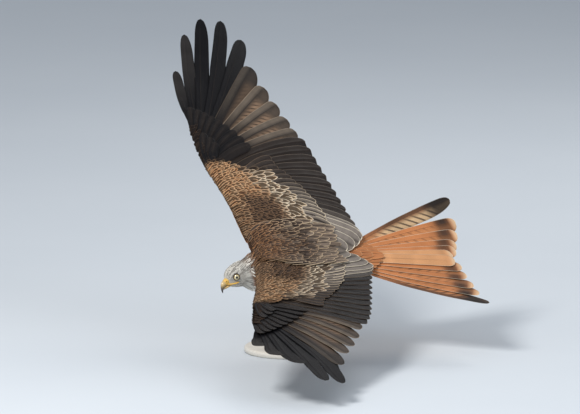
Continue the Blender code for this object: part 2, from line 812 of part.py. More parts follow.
def make_foot(kite, side, looks):
    """Tarsus and four closed toes, laid back under the tail's root, and their claws."""
    ankle = Vector((-0.1226, side * 0.026, -0.070))
    heel, lines = toe_lines(side)
    foot = tube("foot_" + side_name(side), [ankle, ankle.lerp(heel, 0.5), heel],
                (0.0045, 0.0040, 0.0048), 8, kite, looks["foot"])
    toes, claws = [], []
    for number, (root, middle, tip, along) in enumerate(lines):
        start = root.lerp(ankle, 0.06)
        toes.append(tube("toe", [start, middle, tip], (0.0036, 0.0032, 0.0026), 6, kite,
                         looks["foot"]))
        tail = along * CLAW_LENGTH
        bend = [tip - tail * 0.12, tip + tail * 0.35 + Vector((0, 0, -0.0015)),
                tip + tail * 0.72 + Vector((0, 0, -0.0055)), tip + tail * 0.80
                + Vector((0, 0, -0.0100))]
        claws.append(tube("claw_%s_%d" % (side_name(side), number + 1), bend,
                          (0.0019, 0.0018, 0.0011, 0.0003), 5, kite, looks["horn"]))
    boolean(foot, toes, "UNION")
    for claw in claws:
        cut_clear(claw, foot)
    return foot


def make_wing(kite, side, body, looks):
    """The arm with its secondaries, tertials, scapulars and coverts, then the hand."""
    arm = arm_core(side, kite, looks["coverts"])
    vanes = [make_secondary(side, k, looks["remiges"]) for k in range(SECONDARIES + TERTIALS)]
    vanes += secondary_coverts(side, 10, 0.062, 0.098, 0.034, 0.0060, looks["coverts"])
    vanes += secondary_coverts(side, 8, 0.036, 0.070, 0.036, 0.0095, looks["coverts"])
    vanes += scapulars(side, looks["coverts"])
    join_vanes(arm, vanes, kite)
    hand = hand_core(side, kite, looks["remiges"])
    vanes = [make_primary(side, k, looks["remiges"]) for k in range(PRIMARIES)]
    vanes += primary_coverts(side, looks["remiges"])
    join_vanes(hand, vanes, kite)
    cut_clear(arm, *body)
    cut_clear(hand, arm)


def join_vanes(core, vanes, kite):
    for piece in vanes:
        piece.parent = kite
    bpy.context.view_layer.update()
    boolean(core, vanes, "UNION")


def make_tail(kite, torso, look):
    """The tail's root with twelve feathers and the coverts above and below them."""
    core = body_loft("tail", (
        (-0.160, 0.018, -0.008, -0.030), (-0.195, 0.024, -0.004, -0.031),
        (-0.225, 0.027, -0.008, -0.029), (-0.250, 0.024, -0.013, -0.023)), 16, look, kite)
    vanes = []
    for side in (1, -1):
        vanes += [make_tail_feather(side, k, look) for k in range(6)]
        vanes += tail_coverts(side, 3, 0.085, 0.030, 0.0055, 1, look)
        vanes += tail_coverts(side, 3, 0.105, 0.030, 0.0095, -1, look)
    join_vanes(core, vanes, kite)
    cut_clear(core, torso)


def cylinder(name, radius, top_radius, bottom, top, at, segments, look):
    """An upright closed cylinder or shallow cone in the stand's own frame."""
    shape = bmesh.new()
    bmesh.ops.create_cone(shape, cap_ends=True, segments=segments, radius1=radius,
                          radius2=top_radius, depth=top - bottom)
    mesh = bpy.data.meshes.new(name)
    shape.to_mesh(mesh)
    shape.free()
    mesh.materials.append(look)
    made = bpy.data.objects.new(name, mesh)
    made.location = (at.x, at.y, (top + bottom) / 2)
    bpy.context.scene.collection.objects.link(made)
    return made


def make_stand(kite, torso, look_base, look_rod):
    """A round base on the floor, and one upright rod into a shallow socket in the breast."""
    cylinder("stand_base", BASE_RADIUS, BASE_RADIUS - 0.002, 0.0, BASE_THICK, Vector(), 32,
             look_base)
    top = (kite.matrix_world @ ROD_AXIS_POINT).z - ROD_SINK
    rod = cylinder("stand_rod", ROD_RADIUS, ROD_RADIUS, BASE_THICK + GAP, top, ROD_OFF_CENTRE, 12,
                   look_rod)
    cut_clear(torso, rod)


def main():
    clear_scene()
    looks = {
        "head": material("pale_head", (0.62, 0.60, 0.55), 0.85),
        "body": material("rufous_body", (0.34, 0.16, 0.07), 0.85),
        "coverts": material("brown_coverts", (0.20, 0.13, 0.08), 0.8),
        "remiges": material("dark_remiges", (0.04, 0.035, 0.032), 0.6),
        "tail": material("rufous_tail", (0.55, 0.22, 0.08), 0.75),
        "cere": material("yellow_cere", (0.80, 0.50, 0.07), 0.45),
        "horn": material("bill_horn", (0.10, 0.09, 0.08), 0.35),
        "eye": material("pale_iris", (0.75, 0.66, 0.40), 0.1),
        "foot": material("yellow_foot", (0.72, 0.45, 0.06), 0.55),
        "base": material("pale_base", (0.72, 0.71, 0.69), 0.6),
        "rod": material("steel_rod", (0.55, 0.55, 0.55), 0.3, 1.0)}
    kite = bpy.data.objects.new("kite", None)
    bpy.context.scene.collection.objects.link(kite)
    kite.rotation_euler = (-BANK_LEFT, -PITCH_UP, HEADING)
    middle = kite.rotation_euler.to_matrix() @ ROD_AXIS_POINT
    kite.location = (ROD_OFF_CENTRE.x - middle.x, ROD_OFF_CENTRE.y - middle.y, HEIGHT)
    bpy.context.view_layer.update()

    torso = make_torso(kite, looks["body"])
    make_stand(kite, torso, looks["base"], looks["rod"])
    head = make_head(kite, looks["head"])
    neck = make_neck(kite, looks["body"])
    cut_clear(neck, torso, head)
    eyes = [make_eye(kite, side, looks["eye"]) for side in (1, -1)]
    cere, upper, lower = make_bill(kite, looks["horn"], looks["cere"])
    cut_clear(cere, upper)
    cut_clear(lower, cere, upper)
    boolean(head, [eye_socket(kite, side, looks["head"]) for side in (1, -1)], "DIFFERENCE")
    boolean(head, [eyelids(kite, side, looks["head"]) for side in (1, -1)], "UNION")
    cut_clear(head, cere, upper, lower, *eyes)
    for side in (1, -1):
        make_wing(kite, side, (torso, neck), looks)
        thigh = make_thigh(kite, side, looks["body"])
        cut_clear(thigh, torso)
        foot = make_foot(kite, side, looks)
        cut_clear(foot, thigh)
    make_tail(kite, torso, looks["tail"])


main()
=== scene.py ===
"""Looks of a red kite in banking flight on its display stand.

Shapes are made level in the bird's own frame (x forward, y left, z up) and turned into the bank
by KITE. Feathers are joined meshes; each vertex carries its place on its feather and the colours
of that feather, and one shader draws the shaft, barbs, bars and fringe from them.
"""
import math

import bmesh
import bpy
import numpy as np
from mathutils import Euler, Matrix, Vector
from mathutils.bvhtree import BVHTree


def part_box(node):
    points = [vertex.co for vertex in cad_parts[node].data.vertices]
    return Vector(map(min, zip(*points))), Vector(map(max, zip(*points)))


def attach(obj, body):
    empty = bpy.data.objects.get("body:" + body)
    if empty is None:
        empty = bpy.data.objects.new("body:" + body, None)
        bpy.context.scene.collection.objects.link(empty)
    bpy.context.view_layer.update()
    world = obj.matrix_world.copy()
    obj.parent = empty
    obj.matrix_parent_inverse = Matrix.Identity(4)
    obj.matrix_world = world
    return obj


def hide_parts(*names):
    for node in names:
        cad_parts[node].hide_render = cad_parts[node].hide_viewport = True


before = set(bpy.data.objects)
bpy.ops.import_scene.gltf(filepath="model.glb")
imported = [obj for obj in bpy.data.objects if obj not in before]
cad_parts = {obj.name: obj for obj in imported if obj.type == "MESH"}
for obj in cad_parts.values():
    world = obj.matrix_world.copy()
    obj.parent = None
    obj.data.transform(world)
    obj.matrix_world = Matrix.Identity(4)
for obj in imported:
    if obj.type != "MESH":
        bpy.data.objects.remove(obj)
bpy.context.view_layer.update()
SEED = 11
rng = np.random.default_rng(SEED)

# The bird's frame over the stand
HEIGHT = 0.232
HEADING = math.radians(194.3)
PITCH_UP = math.radians(2.5)
BANK_LEFT = math.radians(25.4)
ROD_POINT = Vector((-0.012, 0.0, -0.033))
ROD_OFF_CENTRE = Vector((-0.042, -0.004, 0.0))
TURN = Euler((-BANK_LEFT, -PITCH_UP, HEADING)).to_matrix()
PLACE = Vector((ROD_OFF_CENTRE.x, ROD_OFF_CENTRE.y, HEIGHT))
PLACE -= Vector(((TURN @ ROD_POINT).x, (TURN @ ROD_POINT).y, 0))
KITE = Matrix.Translation(PLACE) @ TURN.to_4x4()
KITE_ROWS = np.array(KITE)

# A long lens ten degrees above the horizon, the floor, lights and background
VIEW_DISTANCE = 30.0
VIEW_END = 200
VIEW_WIDTH = 1.305
VIEW_TURN = math.radians(80)
VIEW_CENTRE = Vector((0.04725, 0.100125, 0))
SENSOR = 36
FLOOR_REACH = 60.0
LIGHT_AIM = Vector((0.0, 0.0, 0.33))
BACKGROUND = (0.78, 0.82, 0.88, 1)
BACKGROUND_STRENGTH = 0.50

# Head and eye
HEAD_AT = (0.0834, 0.0240, -0.0533)
HEAD_ROLL = math.radians(34)
HEAD_DOWN = math.radians(12)
HEAD_YAW = math.radians(36)
HEAD_SCALE = 1.03
HEAD_TURN = Euler((HEAD_ROLL, HEAD_DOWN, HEAD_YAW)).to_matrix()
HEAD = Matrix.Translation(HEAD_AT) @ HEAD_TURN.to_4x4() @ Matrix.Scale(HEAD_SCALE, 4)
HEAD_ROWS = np.array(HEAD)
HEAD_INVERSE = np.array(HEAD.inverted())
EYE_FORWARD = -0.0008
EYE_OUT = 0.0138
EYE_RADIUS = 0.0088
EYE_TURN = math.radians(26)
SOCKET_RADIUS = 0.0074
LID_OUT = 0.0056
LID_THICK = 0.00085
BARE_RADIUS = 0.0086
IRIS_REACH = 0.80
CLAW_LENGTH = 0.012

# Wing and tail
SIDES = ((1, "left"), (-1, "right"))
EDGE_AT_ROOT = 0.037
EDGE_SLOPE = 0.11
EDGE_CURVE = 0.415
HAND_EDGE_SLOPE = 0.20
SHOULDER_DROP = 0.011
DIHEDRAL = 0.2
HAND_DIHEDRAL = 0.035
UPWARD_CURVE = 0.020
WING_CHORD = 0.27
WING_ARCH = 0.010
ARM_DROOP = 0.055
TIP_DROOP = 0.030
ARM_THICK = 0.036
ARM_TAPER = 0.022
HAND_THICK = 0.014
HAND_TAPER = 0.007
HAND_SPAN = 0.115
TAIL_DROOP = 0.023
TAIL_CURL = 0.62
WRIST = 0.270
SWEEP = 0.300
ROOT_SPAN = 0.024
DIGIT_SPAN = 0.385
HAND_LEAD = 0.066
ELBOW = np.array((-0.030, 0.125))
WRIST_BACK = np.array((0.055, 0.256))
PRIMARIES = 10
FIRST_FINGER = 5
SECONDARIES = 12
TERTIALS = 4
SECONDARY_WIDTH = 0.046
GREATER_COVERTS = 15
UNDER_COVERTS = 30
COVERT_LENGTH = 0.085
COVERT_WIDTH = 0.027
PRIMARY_COVERTS = 9
TILT = 0.055
PRIMARY_STACK = 0.0008
PRIMARY_LENGTH = (0.227, 0.234, 0.244, 0.258, 0.291, 0.360, 0.368, 0.320, 0.262, 0.165)
PRIMARY_ANGLE = (62.1, 54.0, 44.9, 36.0, 26.9, 19.9, 12.3, 4.8, -2.7, -12.7)
PRIMARY_BOW = (0, 0, 0, 0, 0, -0.010, -0.015, -0.005, 0, 0.020)
PRIMARY_WIDTH = (0.050, 0.050, 0.050, 0.050, 0.050, 0.050, 0.050, 0.046, 0.042, 0.034)
FINGER_RISE = (0.0, -0.003, -0.003, -0.003, -0.007, -0.014, 0.003, 0.032, 0.032, 0.018)
FINGER_WIDTH = (0.040, 0.036, 0.036, 0.031, 0.025)
FINGER_NOTCH = (0.62, 0.52, 0.46, 0.42, 0.36)
TAIL_PAIRS = 6
TAIL_WIDTH = 0.046
TAIL_ROOT = np.array((-0.172, 0.0, -0.014))
TAIL_LENGTH = (0.262, 0.275, 0.284, 0.301, 0.318, 0.348)
TAIL_ANGLE_LEFT = (2.0, 5.6, 12.6, 20.0, 25.7, 31.3)
TAIL_ANGLE_RIGHT = (2.0, 5.1, 9.6, 16.1, 22.6, 32.6)


def linear(red, green, blue):
    """Linear colour from 8-bit display values."""
    value = np.array((red, green, blue)) / 255.0
    return np.where(value <= 0.04045, value / 12.92, ((value + 0.055) / 1.055) ** 2.4)


BLACK = linear(18, 18, 21)
BLACK_BROWN = linear(40, 35, 33)
DARK_BROWN = linear(66, 52, 43)
GREY_BROWN = linear(136, 122, 108)
BUFF = linear(204, 164, 122)
CREAM = linear(238, 224, 200)
RUFOUS = linear(160, 104, 68)
DEEP_RUFOUS = linear(134, 84, 56)
ORANGE = linear(184, 119, 75)
PALE_ORANGE = linear(202, 150, 106)
HEAD_DARK = linear(92, 86, 80)
WHITE = linear(240, 236, 226)


def mix(a, b, share):
    share = np.clip(np.asarray(share, float), 0, 1)[..., None]
    return a * (1 - share) + b * share


def rise(value, start, run):
    """0 up to the start, 1 once the run is done, and an even rise between."""
    return np.clip((value - start) / run, 0, 1)


def ramp(value, low, high):
    """0 below low and 1 above high, with a soft rise between."""
    part = rise(np.asarray(value, float), low, high - low)
    return part * part * (3 - 2 * part)


# Shape functions


def leading_edge(span):
    """Forward place of the wing's front edge, before the hand is swept."""
    span = np.asarray(span, float)
    inner = np.minimum(span, WRIST)
    return (EDGE_AT_ROOT + EDGE_SLOPE * inner + EDGE_CURVE * inner * inner
            + HAND_EDGE_SLOPE * (span - inner))


def wing_surface(forward, span):
    """Height of the wing's middle surface."""
    beyond = np.maximum(0.0, span - WRIST)
    lift = DIHEDRAL * span - SHOULDER_DROP + HAND_DIHEDRAL * beyond + UPWARD_CURVE * span * span
    back = leading_edge(span) - forward
    droop = ARM_DROOP * rise(span, 0.09, 0.30) + TIP_DROOP * rise(span, 0.36, 0.10)
    part = np.clip(back / WING_CHORD, 0, 1)
    return lift - droop * back + WING_ARCH * 4 * part * (1 - part)


def wing_place(side, forward, span, up):
    """Point in the bird's frame; one hand is swept forward and the other back."""
    beyond = np.maximum(0.0, span - SWEEP)
    return np.stack([forward + side * HAND_LEAD * beyond, side * span, up], -1)


def tail_surface(forward, across):
    """Height of the tail's middle surface, which curls up to both sides."""
    back = TAIL_ROOT[0] - forward
    return TAIL_ROOT[2] - TAIL_DROOP * back + TAIL_CURL * across * across


def tail_place(side, forward, across, up):
    return np.stack([forward, side * across, up], -1)


WING = (wing_surface, wing_place)
TAIL = (tail_surface, tail_place)


def top_share(span):
    """Share of the arm's thickness that lies above the wing's middle surface."""
    return 0.18 + 0.30 * rise(span, 0.03, 0.11)


def arm_thickness(span):
    inner = ARM_THICK - ARM_TAPER * rise(span, ROOT_SPAN, WRIST - ROOT_SPAN)
    hand = HAND_THICK - HAND_TAPER * rise(span, WRIST, HAND_SPAN)
    return np.where(span < WRIST, inner, hand)


def arm_back(span):
    """Where the flesh of arm and hand ends behind."""
    inner = -0.062 + 0.092 * rise(span, 0.10, WRIST - 0.10) ** 1.25
    hand = leading_edge(span) - 0.047 + 0.031 * rise(span, WRIST, HAND_SPAN)
    return np.where(span < WRIST, inner, hand)


def flesh(forward, span, face):
    """Height of the arm's flesh above (face 1) or below (face -1) the wing's middle surface."""
    part = np.clip((leading_edge(span) - forward) / (leading_edge(span) - arm_back(span)), 0, 1)
    share = top_share(span) if face > 0 else 1 - top_share(span)
    return share * arm_thickness(span) * np.sin(np.pi * part ** 0.62)


def moved(points, rows):
    return np.asarray(points) @ rows[:3, :3].T + rows[:3, 3]


def to_world(points):
    return moved(points, KITE_ROWS)


def from_world(points):
    return (points - KITE_ROWS[:3, 3]) @ KITE_ROWS[:3, :3]


def in_head(points):
    """Points of the head's own frame in the bird's frame."""
    return moved(points, HEAD_ROWS)


def head_coordinates(points):
    """Places in the head's own frame of points in the bird's frame."""
    return moved(points, HEAD_INVERSE)


# Joined feather meshes

TO_CM = 100


class Plumage:
    """One joined piece of feathers, with each vertex's place on its feather and its colours."""

    def __init__(self):
        self.points, self.quads, self.marks, self.bake = [], [], [], []
        self.looks = []
        self.count = 0

    def add(self, upper, lower, marks, bake, looks):
        """Adds n closed blades: faces and marks (n, rows, cols, ..) of their two sides."""
        points = np.concatenate([upper, lower[:, :, ::-1]], 2)
        marks = np.concatenate([marks, marks[:, :, ::-1]], 2)
        n, rows, cols = points.shape[:3]
        index = np.arange(n * rows * cols).reshape(n, rows, cols)
        index = np.concatenate([index, index[:, :, :1]], 2)
        corners = [index[:, :-1, :-1], index[:, 1:, :-1], index[:, 1:, 1:], index[:, :-1, 1:]]
        quads = np.stack(corners, -1).reshape(-1, 4)
        local = (points - points.mean((1, 2), keepdims=True)).reshape(-1, 3)[quads]
        if (local[:, 0] * np.cross(local[:, 1], local[:, 2])).sum() < 0:
            quads = quads[:, ::-1]
        self.quads.append(quads + self.count)
        self.points.append(points.reshape(-1, 3))
        self.marks.append(marks.reshape(-1, 4))
        self.bake.append(bake.reshape(-1, 2))
        self.looks.append(np.broadcast_to(looks, (n, rows, cols, 16)).reshape(-1, 16))
        self.count += n * rows * cols

    def make(self, name, look):
        points = to_world(np.concatenate(self.points))
        quads = np.concatenate(self.quads)
        made = mesh_object(name, points, quads, look)
        mesh = made.data
        corner = quads.ravel()
        marks = np.concatenate(self.marks)
        for layer, values in (("Feather", marks[:, :2]), ("Place", marks[:, 2:]),
                              ("OFBake", np.concatenate(self.bake))):
            uv = mesh.uv_layers.new(name=layer)
            uv.data.foreach_set("uv", np.ascontiguousarray(values[corner], np.float32).ravel())
        mesh.uv_layers.active = mesh.uv_layers["OFBake"]
        looks = np.concatenate(self.looks).astype(np.float32)
        for k, layer in enumerate(("ground", "rim", "mark", "extra")):
            add_colour(mesh, layer, looks[:, 4 * k:4 * k + 4])
        return made


def placed(name, data):
    made = bpy.data.objects.new(name, data)
    bpy.context.scene.collection.objects.link(made)
    return made


def add_colour(mesh, name, values):
    layer = mesh.attributes.new(name, "FLOAT_COLOR", "POINT")
    layer.data.foreach_set("color", np.ascontiguousarray(values, np.float32).ravel())


def read(items, name, width, kind=float):
    """One row of values for each of a mesh's items."""
    values = np.empty(len(items) * width, kind)
    items.foreach_get(name, values)
    return values.reshape(-1, width)


def mesh_object(name, points, quads, look, smooth=True):
    mesh = bpy.data.meshes.new(name)
    mesh.vertices.add(len(points))
    mesh.vertices.foreach_set("co", np.ascontiguousarray(points, np.float32).ravel())
    size = quads.shape[1]
    mesh.loops.add(quads.size)
    mesh.loops.foreach_set("vertex_index", quads.astype(np.int32).ravel())
    mesh.polygons.add(len(quads))
    mesh.polygons.foreach_set("loop_start", np.arange(0, quads.size, size, dtype=np.int32))
    mesh.polygons.foreach_set("use_smooth", np.full(len(quads), smooth))
    mesh.update(calc_edges=True)
    mesh.validate()
    made = placed(name, mesh)
    mesh.materials.append(look)
    return made


def look_row(ground, rim, rim_width, mark, streak, bars=0.0, spacing=2.0, gloss=0.0):
    """Sixteen values: colours, widths in centimetres and traits for one feather or many."""
    shape = np.broadcast_shapes(np.shape(ground)[:-1], np.shape(rim)[:-1], np.shape(mark)[:-1],
                                np.shape(rim_width), np.shape(streak), np.shape(bars))
    row = np.empty(shape + (16,))
    row[..., 0:3] = ground
    row[..., 3] = bars
    row[..., 4:7] = rim
    row[..., 7] = rim_width
    row[..., 8:11] = mark
    row[..., 11] = streak
    row[..., 12] = spacing
    row[..., 13] = rng.random(shape[:1] + (1,) * (len(shape) - 1))
    row[..., 14] = 0.0
    row[..., 15] = gloss
    return row


def outline(part, root_share, tip_from, tip_share, power):
    """Share of full width along a feather: narrow root, even middle and rounded tip."""
    part = np.asarray(part, float)
    root = root_share + (1 - root_share) * np.sin(np.pi / 2 * np.clip(part / 0.3, 0, 1))
    past = rise(part, tip_from, 1 - tip_from)
    tip = tip_share + (1 - tip_share) * np.sqrt(np.maximum(0.0, 1 - past ** power))
    return np.where(part < tip_from, root, tip)


def oblique(part, width, lead_share, root_share, tip_from, slant):
    """Leading and trailing webs of a feather whose tip is cut back on one side: the trailing
    side where slant is positive, the leading side where it is negative."""
    end = 1 - tip_from
    lead = outline(part, root_share, tip_from + slant * end, 0.05, 2.2 + slant)
    trail = outline(part, root_share, tip_from - slant * end, 0.05, 2.2 - slant)
    return width * lead_share * lead, width * (1 - lead_share) * trail


def backward(angle):
    """Plan direction turned out by an angle from straight back along the bird."""
    return np.stack([-np.cos(angle), np.sin(angle)], -1)


def outward(angle):
    """Plan direction turned back by an angle from straight out along the wing."""
    return np.array((-math.sin(angle), math.cos(angle)))


def plan_line(root, tip, bow, part):
    """Points in plan along a shaft that bows to its leading side."""
    run = tip - root
    lead = np.array((run[1], -run[0]))
    part = np.asarray(part)[:, None]
    return root + run * part + lead * (bow * 4 * part * (1 - part))


class Atlas:
    """Places the faces of large feathers side by side on the bake map."""

    def __init__(self, columns, rows):
        self.columns, self.rows, self.next = columns, rows, 0

    def cell(self, across, along):
        """across and along run from 0 to 1 over one face."""
        column, row = self.next % self.columns, self.next // self.columns
        self.next += 1
        return np.stack([(column + 0.06 + 0.88 * across) / self.columns,
                         (row + 0.04 + 0.92 * along) / self.rows], -1)


BLADE_THICK = 0.0007
EDGE_THICK = 0.0002
SHAFT_RISE = 0.0009
SHAFT_WIDTH = 0.0011
BLADE_CUP = 0.6
ROW_PARTS = np.array((0, .06, .12, .18, .24, .30, .36, .42, .48, .54, .60, .66, .72, .77, .82, .86,
                      .89, .92, .945, .965, .98, .99, 1.0))


def large_feather(piece, atlas, root, tip, bow, widths, height, base, side, tilt, colour,
                  ripple=0.0):
    """A closed blade with a raised shaft: widths(part) gives its leading and trailing web, and
    colour(part, reach, face) the look of its upper (face 1) and lower (face -1) side."""
    surface, place = base
    parts = ROW_PARTS
    middle = plan_line(root, tip, bow, parts)
    run = plan_line(root, tip, bow, np.minimum(1, parts + 0.01))
    run = run - plan_line(root, tip, bow, np.maximum(0, parts - 0.01))
    run /= np.linalg.norm(run, axis=1)[:, None]
    lead = np.stack([run[:, 1], -run[:, 0]], -1)
    lead_width, trail_width = widths(parts)
    ridge = SHAFT_WIDTH * (1 - 0.7 * parts)
    quill = np.minimum(ridge, 0.4 * np.minimum(lead_width, trail_width))
    reaches = np.stack([-trail_width, -trail_width * 0.75, -trail_width * 0.4, -quill,
                        np.zeros_like(parts), quill, lead_width * 0.45, lead_width * 0.8,
                        lead_width], 1)
    at = middle[:, None, :] + lead[:, None, :] * reaches[..., None]
    forward, span = at[..., 0], at[..., 1]
    length = np.linalg.norm(tip - root)
    wave = ripple * np.sin(parts[:, None] * 23 + reaches * 140 + rng.random() * 6)
    up = surface(forward, span) + height(parts)[:, None] + tilt * reaches + wave
    up = up - BLADE_CUP * reaches ** 2
    half = np.full(reaches.shape, BLADE_THICK / 2)
    half[:, (0, -1)] = EDGE_THICK / 2
    half[:, 4] += SHAFT_RISE * (1 - 0.85 * parts)
    upper = place(side, forward, span, up + half)
    lower = place(side, forward, span, up - half)
    rim = np.minimum(np.where(reaches < 0, trail_width[:, None] + reaches,
                              lead_width[:, None] - reaches), (1 - parts[:, None]) * length * 0.8)
    along = np.broadcast_to(parts[:, None], reaches.shape)
    marks = np.stack([reaches * TO_CM, along * length * TO_CM, rim * TO_CM, along], -1)
    across = (reaches + trail_width[:, None]) / (lead_width + trail_width).max()
    bake = np.concatenate([atlas.cell(across, along), atlas.cell(across, along)[:, ::-1]], 1)
    above = colour(along, reaches, 1)
    below = colour(along, reaches, -1)
    looks = np.concatenate([above, below[:, ::-1]], 1)
    piece.add(upper[None], lower[None], marks[None], bake[None], looks[None])


VANE_THICK = 0.0003
SMALL_BOW = 0.03
TUFT_PATCH = 0.003
SMALL_PARTS = np.array((0, 0.3, 0.58, 0.8, 0.93, 1.0))
FINE_PARTS = np.array((0, 0.15, 0.32, 0.5, 0.66, 0.79, 0.88, 0.94, 0.98, 1.0))
SMALL_ACROSS = np.array((-1, -0.5, 0, 0.5, 1.0))


def small_grid(length, width, parts, tip_share, point):
    """Reach, distance along and marks of many small feathers on one grid."""
    shape = outline(parts, 0.5, point, tip_share, 1.75)
    half = 0.5 * width[:, None, None] * shape[None, :, None]
    reach = half * SMALL_ACROSS[None, None, :]
    along = length[:, None, None] * parts[None, :, None] + 0 * reach
    rim = np.minimum(half - np.abs(reach), (1 - parts[None, :, None]) * length[:, None, None] * .8)
    marks = np.stack([reach * TO_CM, along * TO_CM, rim * TO_CM,
                      np.broadcast_to(parts[None, :, None], reach.shape)], -1)
    return reach, along, marks


def tuft_bake(uv, parts):
    """A patch of the bake map about 3 thousandths wide at each root's own place."""
    patch = np.stack(np.broadcast_arrays(SMALL_ACROSS[None, :] * TUFT_PATCH / 2,
                                         (parts[:, None] - 0.5) * TUFT_PATCH), -1)
    patch = np.concatenate([patch, patch[:, ::-1]], 1)
    return uv[:, None, None, :] + patch[None]


def plan_feathers(piece, side, face, root, tip, width, lift_root, lift_tip, looks, base, tilt=0.05,
                  parts=SMALL_PARTS, camber=0.15, tip_share=0.15, bake=None, point=0.62):
    """Many small feathers laid on a wing's or tail's surface, each from root to tip in plan."""
    surface, place = base
    run = tip - root
    length = np.linalg.norm(run, axis=1)
    reach, along, marks = small_grid(length, width, parts, tip_share, point)
    lead = np.stack([run[:, 1], -run[:, 0]], -1) / length[:, None]
    part = along / length[:, None, None]
    bowed = SMALL_BOW * 4 * part * (1 - part) * length[:, None, None]
    at = (root[:, None, None, :] + run[:, None, None, :] * part[..., None]
          + lead[:, None, None, :] * (reach + bowed)[..., None])
    forward, span = at[..., 0], at[..., 1]
    lift = lift_root[:, None, None] + (lift_tip - lift_root)[:, None, None] * np.minimum(
        1, part / 0.65) ** 0.8
    lift = lift - camber * reach ** 2 / np.maximum(width[:, None, None], 1e-4)
    up = surface(forward, span) + face * lift + tilt * reach
    if bake is None:
        bake = wing_bake(root, face)
    upper = place(side, forward, span, up)
    lower = place(side, forward, span, up - face * VANE_THICK)
    piece.add(upper, lower, marks, tuft_bake(bake, parts), looks[:, None, None, :])


def wing_bake(root, face):
    """The wing's own unwrap: its plan, the upper face on the left half of the map."""
    u = 0.03 + (root[:, 1] / 0.45) * 0.44 + (0.5 if face < 0 else 0.0)
    v = 0.05 + (0.13 - root[:, 0]) / 0.40 * 0.9
    return np.stack([np.clip(u, 0.005, 0.995), np.clip(v, 0.005, 0.995)], -1)


# Colours of the large feathers


def primary_colour(index, side):
    """Outer primaries are black; inner ones grey-brown outside and buff with bars inside, and
    darker on the left wing."""
    shadow = 0.40 if side > 0 else 0.0
    inner = 1.0 - min(1.0, max(0.0, (index - 3.0) / 1.7))

    def colour(part, reach, face):
        inside = ramp(-reach, 0.001, 0.004)
        if face > 0:
            far = ramp(part, 0.74, 0.86)
            near_shaft = 1 - ramp(-reach, 0.002, 0.007)
            outer = mix(BLACK_BROWN, linear(98, 88, 78), ramp(part, 0.30, 0.62))
            outer = mix(outer, BLACK_BROWN, 0.75 * (1 - ramp(reach, 0.001, 0.008)))
            web = mix(linear(130, 106, 86), linear(74, 64, 56), far)
            web = mix(web, BLACK_BROWN, near_shaft * (1 - 0.4 * far) + 0.35 * far * near_shaft)
            web = mix(web, BLACK_BROWN, 0.75 * ramp(part, 0.93, 1.0))
            web = mix(web, linear(70, 60, 53), shadow)
            outer = mix(outer, BLACK_BROWN, 0.6 * shadow)
            ground = mix(BLACK, mix(outer, web, inside), inner)
            worn = (index >= 8) * ramp(part, 0.35, 0.8) * 0.22
            ground = mix(ground, linear(84, 80, 77), worn)
            bars = 0.95 * inner * inside * (1 - far) * ramp(part, 0.3, 0.4)
            bars = bars * (1 - ramp(-reach, 0.012, 0.019))
            rim_colour = mix(BLACK, linear(150, 134, 116), 0.9 * inner)
            return look_row(ground, rim_colour, 0.05 + 0.07 * inner, BLACK_BROWN, 0.05, bars,
                            1.5, 0.5)
        window = (1 - ramp(part, 0.40, 0.62)) * (0.35 + 0.65 * inside)
        dark = mix(linear(92, 88, 86), BLACK, ramp(part, 0.55, 0.85))
        ground = mix(dark, linear(214, 206, 194), window)
        bars = 0.6 * window * inside
        return look_row(ground, DARK_BROWN, 0.05, BLACK_BROWN, 0.05, bars, 2.0, 0.5)
    return colour


def secondary_colour(index, side):
    """Secondaries are black-brown with thin pale edges, darkened further on the left wing as painted
    shade; tertials grey with white fringes.
    """
    tertial = min(1.0, max(0.0, (index - 9.6) / 1.8))

    def colour(part, reach, face):
        inside = ramp(-reach, 0.0, 0.004)
        if face > 0:
            dark = mix(linear(42, 36, 33), BLACK, 0.6 * inside)
            # Painted shade: the left wing's secondaries are darkened toward black from the middle to
            # the tip, for the light that falls on that wing.
            dark = mix(dark, BLACK, 0.75 * (side > 0) * ramp(part, 0.30, 0.75))
            pale = mix(linear(124, 116, 109), linear(112, 103, 95), inside * 0.5)
            shade = 1 - 0.55 * (1 - ramp(np.abs(reach), 0.0005, 0.005))
            ground = mix(dark, pale * shade[..., None], tertial)
            edge = mix(linear(104, 88, 72), linear(232, 220, 198), tertial)
            return look_row(ground, edge, 0.08 + 0.10 * tertial, BLACK_BROWN, 0.07,
                            0.2 * (1 - tertial) * inside, 1.4, 0.8 - 0.5 * tertial)
        ground = mix(linear(104, 98, 94), linear(70, 66, 66), ramp(part, 0.5, 0.95))
        return look_row(ground, GREY_BROWN, 0.06, BLACK_BROWN, 0.05, 0.5 * inside, 2.2, 0.4)
    return colour


